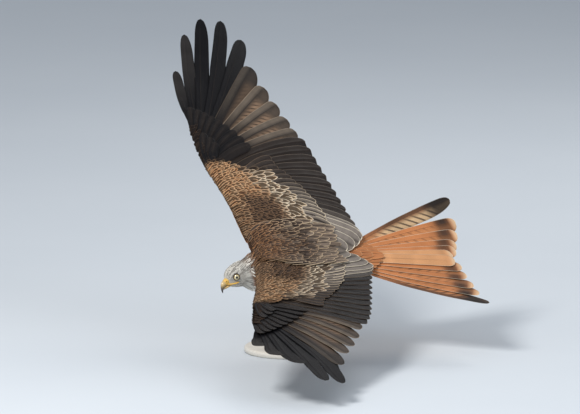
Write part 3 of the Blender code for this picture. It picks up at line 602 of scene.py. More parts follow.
def tail_colour(index, side):
    """Central pair pale orange; the rest rufous with bars inside and dark patches near the tip."""

    def colour(part, reach, face):
        inside = ramp(-reach, -0.001, 0.003)
        outer = index == 5
        ground = mix(ORANGE, PALE_ORANGE, 0.85 if index == 0 else 0.25 * inside)
        patch = ramp(part, 0.80, 0.88) * (1 - ramp(part, 0.93, 0.985))
        patch = patch * (0.12 if index == 0 else 0.72 + 0.06 * index)
        patch = patch * (0.45 + 0.55 * (1 - inside) + 0.3 * (index > 2) * inside)
        ground = mix(ground, BLACK_BROWN * 1.1, np.minimum(patch, 1))
        ground = mix(ground, linear(214, 184, 150), ramp(part, 0.950, 0.99) * 0.85)
        bars = inside * ramp(part, 0.25, 0.4) * (1 - ramp(part, 0.85, 0.9)) * (index > 0)
        bars = bars * (1 - ramp(-reach, 0.007, 0.013)) if index < 5 else bars * 0.8
        if outer:
            web = mix(ground, linear(196, 168, 132), 0.9 * inside * ramp(part, .25, .45) * (side < 0))
            edge = (1 - inside) * ramp(part, 0.10, 0.5)
            web = mix(web, DARK_BROWN, edge * 0.85)
            ground = mix(web, BLACK_BROWN, ramp(part, 0.74, 0.87) * (0.98 - 0.06 * inside))
        if face < 0:
            ground = mix(ground, linear(214, 190, 168), 0.55)
            bars = bars * 0.5
        return look_row(ground, mix(ground, CREAM, 0.6 if index < 5 else 0.15), 0.11,
                        BLACK_BROWN * 1.2, 0.03, bars, 2.1, 0.3)
    return colour


def covert_colour(ground_above, rim_above, width, ground_below, gloss, streak):
    def colour(part, reach, face):
        near = 1 - ramp(np.abs(reach), 0.002, 0.008)
        if face > 0:
            ground = mix(ground_above, BLACK_BROWN, near * 0.75 * ramp(part, 0.3, 0.6))
            return look_row(ground, rim_above, width, BLACK_BROWN, streak, gloss=gloss)
        return look_row(ground_below + 0 * reach[..., None], GREY_BROWN, 0.05, BLACK_BROWN, 0.04)
    return colour


# Wings


def web_widths(full, lead_share, root_share, tip_from, slant):
    return lambda part: oblique(part, full, lead_share, root_share, tip_from, slant)


def finger_widths(index, side):
    """Webs of an outer primary that narrow past its notch, less so on the left wing."""
    notch = FINGER_NOTCH[index - FIRST_FINGER] + (0.12 if side > 0 else 0.0)
    full = PRIMARY_WIDTH[index]
    narrow = FINGER_WIDTH[index - FIRST_FINGER] / full
    folded = 0.55 if side > 0 else 1.0

    def widths(part):
        past = ramp(part, notch - 0.02, notch + 0.13)
        width = full * (1 - (1 - narrow) * past * folded) * (1 - 0.10 * ramp(part, 0.60, 0.95))
        return oblique(part, width, 0.24 + 0.16 * past, 0.35, 0.86, 0.2)
    return widths


def constant(value):
    return lambda part: np.full_like(part, value)


def lifted(low, gain):
    """A height that rises from the root and stays level past the middle."""
    return lambda part: low + gain * np.minimum(1, part / 0.6)


def add_primaries(piece, atlas, side):
    front = float(leading_edge(WRIST))
    for index in range(PRIMARIES):
        share = index / (PRIMARIES - 1)
        root = np.array((front - 0.026 + 0.034 * share, 0.277 + 0.098 * share))
        tip = root + outward(math.radians(PRIMARY_ANGLE[index])) * PRIMARY_LENGTH[index]
        if index >= FIRST_FINGER:
            widths = finger_widths(index, side)
        else:
            widths = web_widths(PRIMARY_WIDTH[index], 0.34, 0.35, 0.86, 0.45)

        def height(part):
            bend = np.maximum(0.0, (part - 0.55) / 0.45) ** 1.6
            return 0.001 - PRIMARY_STACK * index + FINGER_RISE[index] * bend

        large_feather(piece, atlas, root, tip, PRIMARY_BOW[index], widths, height, WING, side,
                      TILT, primary_colour(index, side), ripple=0.0002)


def secondary_ends(index):
    """Root and tip in plan, from the wrist inward; the tertials follow past the elbow."""
    share = index / (SECONDARIES - 1)
    root = WRIST_BACK * (1 - share) + ELBOW * share
    tip = np.array((-0.147 - 0.077 * min(share, 1.0) ** 0.8, 0.356 - 0.296 * share))
    if share > 1:
        inner = index - SECONDARIES + 1
        root = ELBOW + np.array((-0.004, -0.0165)) * inner
        tip = np.array((-0.230 + 0.0030 * inner * inner, 0.064 - 0.0155 * inner))
    return root, tip


def add_secondaries(piece, atlas, side):
    for index in range(SECONDARIES + TERTIALS):
        root, tip = secondary_ends(index)
        inner = max(0, index - SECONDARIES + 1)
        tertial = min(1.0, max(0.0, (index - 8.0) / 3.0))
        widths = web_widths(SECONDARY_WIDTH + 0.008 * tertial, 0.34 + 0.12 * tertial, 0.4,
                            0.90 - 0.08 * tertial, -0.5 + 0.5 * tertial)
        large_feather(piece, atlas, root, tip, 0.045, widths, constant(0.001 + 0.0012 * inner),
                      WING, side, TILT, secondary_colour(index, side), ripple=0.0003)


def covert_reach(span):
    """How far behind the leading edge the tips of the greater coverts lie."""
    return np.interp(span, (0.06, 0.109, 0.158, 0.216, 0.270), (0.205, 0.203, 0.198, 0.181, 0.157))


def covert_direction(span):
    """Plan direction of the coverts, as an angle out from straight back."""
    return np.radians(np.interp(span, (0.05, 0.125, 0.19, 0.256, 0.33), (-26, -16, 4, 25, 48)))


def covert_envelope(span, back, face):
    """Height of the coat's surface over the wing's middle surface."""
    forward = leading_edge(span) - back
    share = np.clip(back / covert_reach(span), 0, 1)
    base = np.maximum(flesh(forward, span, face) * ramp(back, -0.004, 0.012), 0.0015)
    return base + 0.0022 + 0.0040 * (1 - share) * ramp(back, 0.0, 0.05) + 0.0015 * share


def add_greater_coverts(piece, atlas, side):
    for k in range(GREATER_COVERTS):
        share = (k + 0.5) / GREATER_COVERTS
        span = 0.296 - 0.228 * share
        back = float(covert_reach(span)) + 0.002 * math.sin(k * 2.3)
        angle = float(covert_direction(span))
        tip = np.array((float(leading_edge(span)) - back, span))
        root = tip - backward(angle) * COVERT_LENGTH
        pale = 1 - ramp(span, 0.10, 0.24)
        rim = mix(linear(110, 92, 76), linear(228, 210, 182), pale)
        ground = mix(linear(58, 51, 47), linear(132, 122, 112), pale)
        colour = covert_colour(ground, rim, 0.10 + 0.05 * pale, linear(96, 90, 86), 0.4,
                               0.18 + 0.08 * pale)
        large_feather(piece, atlas, root, tip, 0.05, web_widths(COVERT_WIDTH, 0.42, 0.55, 0.74, -0.2),
                      lifted(0.0030, 0.0022), WING, side, TILT, colour)


def add_primary_coverts(piece, atlas, side):
    front = float(leading_edge(WRIST))
    for k in range(PRIMARY_COVERTS):
        share = k / PRIMARY_COVERTS
        root = np.array((front - 0.024 + 0.034 * share, 0.270 + 0.094 * share))
        angle = math.radians((PRIMARY_ANGLE[k] + PRIMARY_ANGLE[k + 1]) / 2)
        tip = root + outward(angle) * (0.100 - 0.014 * share)
        colour = covert_colour(mix(BLACK_BROWN, BLACK, ramp(k, -1, 1)), BLACK_BROWN, 0.05,
                               linear(70, 66, 64), 0.6, 0.04)
        large_feather(piece, atlas, root, tip, 0.05, web_widths(COVERT_WIDTH, 0.42, 0.55, 0.80, 0.0),
                      lifted(0.0030 - 0.0005 * k, 0.0030), WING, side, 0.10, colour)
    for k, length in enumerate((0.088, 0.070, 0.052)):
        root = np.array((front - 0.006 - 0.004 * k, 0.272 + 0.003 * k))
        angle = math.radians(-2 + 9 * k)
        tip = root + outward(angle) * length
        colour = covert_colour(BLACK, BLACK_BROWN, 0.06, linear(60, 58, 58), 0.7, 0.04)
        large_feather(piece, atlas, root, tip, 0.04, web_widths(0.023, 0.40, 0.55, 0.76, 0.0),
                      constant(0.0072 + 0.0009 * k), WING, side, 0.10, colour)


def arm_top_looks(span, back, width, side):
    """Colours of the upper lesser and median coverts by their place on the arm."""
    wild = rng.random(len(span))
    ahead = covert_reach(span) - back
    pale = (1 - ramp(ahead, 0.066, 0.104)) * (1 - 0.5 * ramp(span, 0.22, 0.27))
    dark_patch = (ramp(back, 0.018, 0.045) * (1 - ramp(back, 0.100, 0.128))
                  * (1 - ramp(span, 0.140, 0.185)))
    inner_front = (1 - ramp(span, 0.11, 0.18)) * (1 - ramp(back, 0.03, 0.06))
    black = np.maximum(ramp(span, 0.262, 0.282), ramp(span, 0.235, 0.262) * ramp(back, .060, .095))
    ground = mix(linear(172, 121, 82), linear(206, 163, 120), wild)
    ground = mix(ground, mix(linear(206, 184, 154), linear(176, 140, 106), wild * 0.8), pale)
    rim = mix(linear(214, 172, 128), linear(236, 222, 200), np.maximum(pale, 0.4 * wild))
    brown = mix(linear(84, 66, 54), linear(104, 80, 62), wild)
    ground = mix(ground, brown, np.maximum(dark_patch, 0.62 * inner_front))
    rim = mix(rim, linear(124, 94, 70), np.maximum(dark_patch * 0.9, 0.45 * inner_front))
    ground = mix(ground, mix(BLACK, BLACK_BROWN, wild), black)
    rim = mix(rim, linear(70, 56, 46), black)
    shadow = 0.22 if side > 0 else 0.0
    ground = mix(ground, linear(112, 84, 62), shadow)
    streak = TO_CM / 2 * width * (0.54 + 0.30 * wild + 0.14 * pale + 0.5 * shadow)
    return look_row(ground, rim, 0.07 + 0.06 * pale, linear(28, 23, 21), streak, gloss=0.15)


def arm_under_looks(span, back, width, side):
    wild = rng.random(len(span))
    grey = ramp(back, 0.10, 0.15)
    hand = ramp(span, 0.265, 0.30) * (1 - 0.6 * ramp(back, 0.02, 0.05))
    ground = mix(RUFOUS, DEEP_RUFOUS, wild)
    ground = mix(ground, linear(98, 88, 82), grey)
    ground = mix(ground, linear(50, 44, 42), hand)
    rim = mix(mix(BUFF, linear(160, 148, 138), grey), linear(80, 70, 62), hand)
    return look_row(ground, rim, 0.05 + 0.05 * wild, BLACK_BROWN, TO_CM / 2 * width * 0.4,
                    gloss=0.1)


def covert_rows():
    """Rows of small coverts: how far ahead of the greater tips, their step and their pitch."""
    rows = []
    ahead, step, pitch = 0.034, 0.024, 0.0110
    while ahead < 0.235:
        rows.append((ahead, step, pitch))
        step = max(0.0105, step * 0.86)
        pitch = max(0.0058, pitch * 0.90)
        ahead += step
    return rows


def add_small_coverts(piece, side, face):
    """Rows of median, lesser and marginal coverts from the greater coverts to the front edge."""
    for number, (ahead, step, pitch) in enumerate(covert_rows()):
        low, high = (0.046, 0.392) if face > 0 else (0.060, 0.392)
        spans = np.arange(low + pitch * (0.25 + 0.5 * (number % 2)), high, pitch)
        spans = spans + rng.normal(0, pitch * 0.16, len(spans))
        back = covert_reach(spans) - ahead + rng.normal(0, step * 0.32, len(spans))
        front = np.where(spans > 0.262, np.interp(spans, (.262, .29, .39), (.075, .034, .020)), 1.0)
        keep = (back > 0.002) & (back < 0.19) & (back < front)
        spans, back = spans[keep], back[keep]
        if not len(spans):
            continue
        angle = covert_direction(spans) + rng.normal(0, 0.09, len(spans))
        tip = np.stack([leading_edge(spans) - back, spans], -1)
        run = backward(angle)
        length = (step * 1.9 + 0.005) * rng.uniform(0.92, 1.08, len(spans))
        length = np.minimum(length, np.maximum(0.005, (back + 0.002) / np.cos(angle)))
        root = tip - run * length[:, None]
        width = np.full(len(spans), pitch * 1.5) * rng.uniform(0.9, 1.1, len(spans))
        width = np.minimum(width, length * 0.75)
        tip_lift = covert_envelope(spans, back, face) + rng.uniform(0, 0.0006, len(spans))
        root_back = leading_edge(root[:, 1]) - root[:, 0]
        root_lift = covert_envelope(root[:, 1], root_back, face) - 0.0038
        looks = arm_top_looks if face > 0 else arm_under_looks
        plan_feathers(piece, side, face, root, tip, width, root_lift, tip_lift,
                      looks(spans, back, width, side), WING, tip_share=0.08, point=0.48)


def add_under_greater(piece, side):
    """Greater under coverts over the roots of the flight feathers."""
    spans = np.linspace(0.060, 0.375, UNDER_COVERTS)
    back = np.interp(spans, (0.06, 0.15, 0.27, 0.38), (0.150, 0.150, 0.125, 0.085))
    angle = covert_direction(np.minimum(spans, 0.33))
    tip = np.stack([leading_edge(spans) - back, spans], -1)
    run = backward(angle)
    length = np.interp(spans, (0.06, 0.38), (0.070, 0.055))
    root = tip - run * length[:, None]
    width = np.full(len(spans), 0.022)
    wild = rng.random(len(spans))
    ground = mix(linear(112, 102, 94), linear(86, 78, 74), wild)
    looks = look_row(ground, linear(176, 160, 142), 0.07, BLACK_BROWN, 0.07, gloss=0.3)
    lift = np.full(len(spans), 0.0045)
    plan_feathers(piece, side, -1, root, tip, width, lift * 0.6, lift, looks, WING,
                  parts=FINE_PARTS)


# Tail


def add_tail(piece, atlas):
    for side, angles in ((1, TAIL_ANGLE_LEFT), (-1, TAIL_ANGLE_RIGHT)):
        for index in range(TAIL_PAIRS):
            angle = math.radians(angles[index])
            outer = index / (TAIL_PAIRS - 1)
            root = np.array((TAIL_ROOT[0], 0.003 + 0.003 * index))
            tip = root + backward(angle) * TAIL_LENGTH[index]
            lead_share = 0.5 - 0.24 * outer
            narrow = 0.92 if side < 0 and outer == 1 else 1.0
            cut = 0.76 if outer == 1 else 0.93

            def widths(part):
                width = TAIL_WIDTH * (0.7 + 0.3 * part) * narrow
                lead = outline(part, 0.35, 0.93, 0.12, 2.0)
                trail = outline(part, 0.35, cut, 0.10, 1.5)
                return width * lead_share * lead, width * (1 - lead_share) * trail

            top = 0.0024 if side > 0 and index == 0 else 0.0
            large_feather(piece, atlas, root, tip, 0.035 * outer, widths,
                          constant(top - 0.001 * index), TAIL, side,
                          0.0 if index == 0 else TILT, tail_colour(index, side), ripple=0.0002)


def add_tail_coverts(piece):
    """Rows of coverts above (face 1) and below (face -1) the roots of the tail feathers."""
    for face, count, length, width in ((1, 5, 0.085, 0.024), (-1, 4, 0.105, 0.028)):
        for side in (1, -1):
            k = np.arange(count * 3)
            row, place = k // count, k % count
            root = np.stack([TAIL_ROOT[0] - 0.012 + 0.020 * row, 0.002 + 0.0055 * place], -1)
            angle = np.radians(2 + 7.5 * place)
            run = backward(angle)
            reach = length - 0.007 * place - 0.006 * row
            tip = root + run * reach[:, None]
            lift = 0.0062 + 0.0016 * row - 0.0009 * place + 0.0012 * (side > 0)
            if face < 0:
                lift = lift + 0.003
            wild = rng.random(len(k))
            if face > 0:
                ground = mix(ORANGE * 0.95, RUFOUS, 0.3 * wild + 0.25 * row)
                looks = look_row(ground, PALE_ORANGE, 0.12, BLACK_BROWN, 0.07 + 0.05 * wild,
                                 gloss=0.2)
            else:
                ground = mix(linear(206, 164, 128), RUFOUS, 0.35 * wild)
                looks = look_row(ground, linear(224, 196, 166), 0.12, DARK_BROWN, 0.03)
            bake = np.stack([0.90 + 0.03 * place / count, 0.05 + 0.02 * row], -1)
            plan_feathers(piece, side, face, root, tip, np.full(len(k), width),
                          np.full(len(k), 0.003), lift, looks, TAIL,
                          tilt=0.08 * face, parts=FINE_PARTS, bake=bake)


# Skin and body feathers


def oval(half_width, half_height, count, power=2.0):
    """An oval's two coordinates, squarer where the power is above 2."""
    angle = 2 * np.pi * np.arange(count) / count
    c, s = np.cos(angle), np.sin(angle)
    return (np.sign(c) * np.abs(c) ** (2 / power) * half_width,
            np.sign(s) * np.abs(s) ** (2 / power) * half_height)


def loft(rings):
    """Points and faces of a closed skin through rings of equal count."""
    rings = np.asarray(rings)
    rows, count = rings.shape[:2]
    index = np.arange(rows * count).reshape(rows, count)
    beside = np.roll(index, -1, 1)
    quads = np.stack([index[:-1], beside[:-1], beside[1:], index[1:]], -1).reshape(-1, 4).tolist()
    quads.append(index[0][::-1].tolist())
    quads.append(index[-1].tolist())
    return rings.reshape(-1, 3), quads


def body_rings(sections, count, inset=0.0, power=2.0):
    """Upright rings from rows of forward place, half width, top and bottom."""
    rings = []
    for x, half_width, top, bottom in sections:
        y, z = oval(half_width - inset, (top - bottom) / 2 - inset, count, power)
        rings.append(np.stack([np.full(count, x), y, (top + bottom) / 2 + z], -1))
    return rings


TORSO = ((0.026, 0.026, 0.000, -0.060), (0.021, 0.036, 0.007, -0.069),
         (0.009, 0.046, 0.013, -0.079), (-0.008, 0.052, 0.016, -0.084),
         (-0.032, 0.053, 0.016, -0.083), (-0.070, 0.050, 0.013, -0.074),
         (-0.105, 0.044, 0.008, -0.062), (-0.140, 0.035, 0.002, -0.050),
         (-0.170, 0.027, -0.004, -0.040), (-0.186, 0.021, -0.008, -0.034))
TORSO_POWER = 2.5
SKULL = ((0.0185, 0.0070, 0.0078, -0.0120), (0.0165, 0.0095, 0.0125, -0.0155),
         (0.0120, 0.0135, 0.0180, -0.0195), (0.0050, 0.0180, 0.0218, -0.0240),
         (-0.0050, 0.0218, 0.0238, -0.0295), (-0.0160, 0.0245, 0.0242, -0.0345),
         (-0.0260, 0.0255, 0.0235, -0.0370), (-0.0330, 0.0240, 0.0210, -0.0360))
THIGH = ((-0.020, 0.034, -0.058), (-0.045, 0.034, -0.068), (-0.080, 0.031, -0.072),
         (-0.105, 0.028, -0.071), (-0.121, 0.026, -0.070))
THIGH_RADII = (0.013, 0.0150, 0.0120, 0.008, 0.0048)
TAIL_FLESH = ((-0.160, 0.018, -0.008, -0.030), (-0.195, 0.024, -0.004, -0.031),
              (-0.225, 0.027, -0.008, -0.029), (-0.250, 0.024, -0.013, -0.023))


def ring(centre, across, up, half_width, half_height, count):
    a, b = oval(half_width, half_height, count)
    return np.array(centre) + a[:, None] * np.array(across) + b[:, None] * np.array(up)


def neck_rings(count):
    """Rings that turn and swell from the back of the skull into the chest."""
    start = Vector(in_head((-0.018, 0, -0.008)))
    end = Vector((0.016, 0.006, -0.036))
    way_in = Vector(HEAD_ROWS[:3, :3] @ np.array((-1.0, 0, 0))).normalized()
    rings = []
    for part in np.linspace(0, 1, 7):
        centre = start.lerp(end, part) + Vector((0, 0.003, -0.005)) * math.sin(math.pi * part)
        axis = way_in.lerp(Vector((-1, 0, 0)), part).normalized()
        across = Vector((0, 0, 1)).cross(axis).normalized()
        swell = math.sin(math.pi / 2 * part)
        rings.append(ring(centre, across, axis.cross(across).normalized(),
                          0.0225 + 0.0215 * swell, 0.0265 + 0.0180 * swell, count))
    return rings


def limb_rings(points, radii, count):
    """Round rings along a line of points."""
    rings = []
    points = [Vector(p) for p in points]
    for k, centre in enumerate(points):
        axis = (points[min(k + 1, len(points) - 1)] - points[max(k - 1, 0)]).normalized()
        across = axis.cross(Vector((0, 0, 1)))
        if across.length < 0.1:
            across = axis.cross(Vector((1, 0, 0)))
        across.normalize()
        rings.append(ring(centre, across, across.cross(axis), radii[k], radii[k], count))
    return rings


def wing_rings(side, spans, inset):
    """Rings round the flesh of arm and hand, a little inside the coat."""
    rings = []
    stations = np.array((0.0, 0.03, 0.1, 0.25, 0.45, 0.7, 1.0))
    for span in spans:
        front, back = float(leading_edge(span)) - 0.002, float(arm_back(span)) + 0.004
        forward = front - stations * (front - back)
        thin = 0.0008 if span < WRIST - 0.02 else 0.0017
        top = wing_surface(forward, span) + np.maximum(flesh(forward, span, 1) - inset, thin)
        low = wing_surface(forward, span) - np.maximum(flesh(forward, span, -1) - inset, thin)
        upper = wing_place(side, forward, np.full(7, span), top)
        lower = wing_place(side, forward, np.full(7, span), low)
        rings.append(np.concatenate([upper, lower[::-1]]))
    return rings


def make_skin(look):
    """One skin over body, neck, head, thighs and the flesh of the wings and tail."""
    parts = [loft(body_rings(TORSO, 40, 0.0035, TORSO_POWER)), loft(neck_rings(40)),
             loft(in_head(body_rings(SKULL, 36, 0.0016))),
             loft(body_rings(TAIL_FLESH, 24, 0.004))]
    spans = (ROOT_SPAN, 0.05, 0.08, 0.11, 0.15, 0.19, 0.23, 0.27, 0.30, 0.34, DIGIT_SPAN)
    for side in (1, -1):
        thigh = [(x, side * y, z) for x, y, z in THIGH]
        parts.append(loft(limb_rings(thigh, THIGH_RADII, 20)))
        parts.append(loft(wing_rings(side, spans, 0.002)))
    return closed("skin", parts, look, voxel=0.0022, smooth=6)


def head_share(points):
    """1 on the head, 0 from the middle of the neck back."""
    local = head_coordinates(points)
    drop = local[:, 2] + 0.008
    aside = np.hypot(local[:, 1], np.where(drop < 0, 0.72, 1.0) * drop)
    return (1 - ramp(-local[:, 0], 0.022, 0.050)) * (1 - ramp(aside, 0.032, 0.041))


def streaks(local, width, length):
    """A value from 0 to 1, even over each streak that runs back over the head and neck."""
    lane = np.floor(np.arctan2(local[:, 2] + 0.006, local[:, 1]) * 0.023 / width)
    start = np.sin(lane * 12.99) * 43758.55
    cell = np.floor(-local[:, 0] / length + start - np.floor(start))
    value = np.sin(lane * 78.23 + cell * 37.72) * 43758.55
    return value - np.floor(value)


def body_colours(points, normals):
    """Ground, rim and streak colours over the body by place."""
    wild = rng.random(len(points))
    local = head_coordinates(points)
    head = head_share(points)
    x = points[:, 0]
    upper = ramp(normals[:, 2] + 0.25 * ramp(x, 0.0, 0.03), -0.05, 0.40)
    mantle = mix(DARK_BROWN, BLACK_BROWN, wild)
    mantle_rim = mix(mix(RUFOUS * 1.1, BUFF, wild), BUFF, ramp(-x, 0.0, 0.10))
    neck_top = ramp(x, -0.015, 0.030)
    mantle = mix(mantle, linear(124, 86, 60), neck_top * 0.55)
    mantle_rim = mix(mantle_rim, linear(168, 124, 88), neck_top)
    belly = mix(RUFOUS, mix(ORANGE, RUFOUS, 0.5), wild)
    belly = mix(belly, linear(196, 142, 100), ramp(-x, 0.09, 0.16))
    belly_rim = mix(belly * 1.15, BUFF, 0.35)
    ground = mix(belly, mantle, upper)
    rim = mix(belly_rim, mantle_rim, upper)
    streak = 0.055 + 0.085 * (1 - upper)
    lanes = streaks(local, 0.0016, 0.0105) < 0.42
    neck_lanes = streaks(local, 0.0034, 0.0130) < 0.45
    on_neck = upper * ramp(x, -0.04, 0.0) * (1 - head) * neck_lanes
    ground = mix(ground, linear(44, 35, 30), 0.85 * on_neck)
    rim = mix(rim, linear(70, 52, 40), 0.85 * on_neck)
    pale = mix(linear(238, 235, 227), linear(214, 210, 200), wild)
    lore = np.exp(-((local[:, 0] - 0.011) ** 2 / 0.00003 + (local[:, 2] + 0.001) ** 2 / 0.00001))
    behind = np.exp(-((local[:, 2] - 0.001) ** 2 / 0.0000055)) * ramp(-local[:, 0], 0.006, 0.010)
    behind = behind * (1 - ramp(-local[:, 0], 0.016, 0.022))
    pale = mix(pale, HEAD_DARK, np.clip(0.55 * lore + 0.7 * behind, 0, 0.8))
    cheek = (1 - ramp(np.abs(local[:, 2] + 0.010), 0.006, 0.016)) * ramp(local[:, 0], -0.03, -0.01)
    hackle = lanes * ramp(-local[:, 0], -0.020, -0.009) * (0.66 - 0.42 * cheek)
    pale = mix(pale, linear(70, 66, 64), hackle)
    ground = mix(ground, pale, head)
    rim = mix(rim, mix(mix(WHITE, pale, 0.5), pale, np.maximum(0.6 * cheek, hackle)), head)
    streak = streak * (1 - head) + (0.014 + 0.052 * (1 - cheek)) * head
    mark = mix(np.broadcast_to(BLACK_BROWN, ground.shape), linear(84, 78, 74), head)
    return ground, rim, mark, streak, upper, head


def feather_length(points):
    """Length of the body feathers by place: smallest round the bill, longest on the back."""
    local = head_coordinates(points)
    on_head = np.interp(-local[:, 0], (-0.020, -0.012, 0.0, 0.015, 0.035),
                        (0.0035, 0.0055, 0.0095, 0.0130, 0.0175))
    near_eye = (np.abs(local[:, 2]) < 0.010) & (local[:, 0] > -0.012)
    on_head = np.where(near_eye, np.minimum(on_head, 0.0048), on_head)
    cheek = (local[:, 2] < -0.004) & (local[:, 0] > -0.020)
    on_head = np.where(cheek, np.minimum(on_head, 0.0070), on_head)
    body = np.interp(-points[:, 0], (-0.05, 0.0, 0.06, 0.16), (0.0190, 0.0220, 0.0280, 0.0340))
    share = 1 - ramp(-local[:, 0], 0.020, 0.045)
    return body * (1 - share) + on_head * share


def scatter(points, radius):
    """Indices of points kept at least their radius apart, in the order given."""
    cells, kept = {}, []
    steps = [(i, j, k) for i in (-1, 0, 1) for j in (-1, 0, 1) for k in (-1, 0, 1)]
    places = np.floor(points / float(radius.max())).astype(int).tolist()
    for number, (x, y, z) in enumerate(places):
        near = [other for i, j, k in steps for other in cells.get((x + i, y + j, z + k), ())]
        if near:
            gaps = ((points[near] - points[number]) ** 2).sum(1)
            if (gaps < radius[number] ** 2).any():
                continue
        cells.setdefault((x, y, z), []).append(number)
        kept.append(number)
    return np.array(kept)


SAMPLES = 90000
SEAM_ANGLE = math.radians(66)


def skin_samples(skin, count):
    """Random points, normals and bake places over the skin, in the bird's frame."""
    mesh = skin.data
    mesh.calc_loop_triangles()
    triangles = read(mesh.loop_triangles, "vertices", 3, np.int32)
    loops = read(mesh.loop_triangles, "loops", 3, np.int32)
    corners = read(mesh.vertices, "co", 3)[triangles]
    normal = read(mesh.vertices, "normal", 3)
    uv = read(mesh.uv_layers["OFBake"].data, "uv", 2)
    area = np.linalg.norm(np.cross(corners[:, 1] - corners[:, 0], corners[:, 2] - corners[:, 0]),
                          axis=1)
    pick = rng.choice(len(triangles), count, p=area / area.sum())
    weights = rng.dirichlet((1, 1, 1), count)[..., None]
    points = (corners[pick] * weights).sum(1)
    normals = (normal[triangles[pick]] * weights).sum(1)
    normals /= np.linalg.norm(normals, axis=1)[:, None]
    places = (uv[loops[pick]] * weights).sum(1)
    return from_world(points), normals @ KITE_ROWS[:3, :3], places


def unwrap(skin):
    """Unwraps the skin's own shape for the bake."""
    mesh = skin.data
    mesh.uv_layers.new(name="OFBake")
    bpy.context.view_layer.objects.active = skin
    skin.select_set(True)
    bpy.ops.object.mode_set(mode="EDIT")
    bpy.ops.mesh.select_all(action="SELECT")
    bpy.ops.uv.smart_project(angle_limit=SEAM_ANGLE, island_margin=0.004)
    bpy.ops.object.mode_set(mode="OBJECT")
    skin.select_set(False)


def tangent(vectors, normals):
    """Directions of unit length laid flat on the skin."""
    flat = vectors - normals * (vectors * normals).sum(1)[:, None]
    return flat / np.maximum(np.linalg.norm(flat, axis=1), 1e-6)[:, None]


def flow(points, normals):
    """The lie of the coat: back from the bill over the head, then back along the body."""
    share = head_share(points)[:, None]
    back = HEAD_ROWS[:3, :3] @ np.array((-1.0, 0, 0))
    back /= np.linalg.norm(back)
    local = head_coordinates(points)
    fan = np.stack([0 * local[:, 0], local[:, 1] * 6, local[:, 2] * 6 - 0.10], -1)
    fan = fan @ (HEAD_ROWS[:3, :3].T / HEAD_SCALE)
    ways = (back + fan * 0.9) * share + np.array((-1.0, 0, -0.04)) * (1 - share)
    return tangent(ways + rng.normal(0, 0.07, points.shape), normals)


BODY_THICK = 0.00025
CURL = 4.5
CURL_SHARE = 0.35


def body_feathers(piece, points, normals, places, length, pitch, wide):
    """Small feathers standing on the skin along the lie of the coat."""
    along = flow(points, normals)
    across = np.cross(normals, along)
    width = length * wide
    reach, run, marks = small_grid(length, width, SMALL_PARTS, 0.10, 0.5)
    lean = pitch + rng.normal(0, 0.02, len(points))
    lift = (lean[:, None, None] * run - CURL * run ** 2 * CURL_SHARE
            - 0.5 * reach ** 2 / width[:, None, None] - 0.0006)
    grid = (points[:, None, None, :] + along[:, None, None, :] * run[..., None]
            + across[:, None, None, :] * reach[..., None]
            + normals[:, None, None, :] * lift[..., None])
    ground, rim, mark, streak, upper, head = body_colours(points, normals)
    rim_width = TO_CM * length * (0.085 + 0.02 * upper)
    looks = look_row(ground, rim, rim_width * (1 - 0.4 * head), mark,
                     streak * np.clip(length / 0.016, 0.45, 1.2), gloss=0.1)
    inner = grid - normals[:, None, None, :] * BODY_THICK
    piece.add(grid, inner, marks, tuft_bake(places, SMALL_PARTS), looks[:, None, None, :])


def coat_body(skin):
    """Points, normals, bake places and lengths of the small feathers over head and body."""
    points, normals, places = skin_samples(skin, SAMPLES)
    local = head_coordinates(points)
    side = np.abs(points[:, 1])
    surface = wing_surface(points[:, 0], side)
    wing = (side > 0.050) & (np.abs(points[:, 2] - surface) < 0.034) & (points[:, 0] > -0.075)
    wing |= (side > 0.038) & (points[:, 2] > surface - 0.012)
    wing = wing & (local[:, 0] < -0.035) | (side > 0.075)
    tail = points[:, 0] < -0.180
    covered = (normals[:, 2] > 0.15) & (points[:, 0] < -0.004)
    mouth = (np.abs(local[:, 2] + 0.0108) < 0.0018) & (local[:, 0] > -0.002)
    bill = local[:, 0] > 0.0168
    keep = ~(wing | tail | covered | mouth | bill)
    for turn in (1, -1):
        centre, axis = eye_frame(turn)[:2]
        offset = local - centre
        out = offset @ axis
        radial = np.linalg.norm(offset - out[:, None] * axis, axis=1)
        keep &= ~((radial < BARE_RADIUS) & (out > 0))
    points, normals, places = (values[keep] for values in (points, normals, places))
    length = feather_length(points)
    chosen = scatter(points, length * (0.25 - 0.06 * head_share(points)) + 0.0003)
    points, normals, places = (values[chosen] for values in (points, normals, places))
    return points, normals, places, fitted(skin, points, normals, length[chosen])


def fitted(skin, points, normals, length):
    """Lengths cut short where the skin turns away from under a feather's tip or faces ahead."""
    mesh = skin.data
    faces = [tuple(face.vertices) for face in mesh.polygons]
    tree = BVHTree.FromPolygons([vertex.co for vertex in mesh.vertices], faces)
    tips = to_world(points + flow(points, normals) * length[:, None])
    gap = np.array([tree.find_nearest(Vector(tip))[3] for tip in tips])
    ahead = np.abs(normals[:, 0]) * (1 - head_share(points))
    return length * (1 - 0.6 * ramp(gap, 0.0035, 0.0080)) * (1 - 0.65 * ramp(ahead, 0.65, 0.90))


MANTLE_FRONT = 0.024
MANTLE_BACK = -0.170


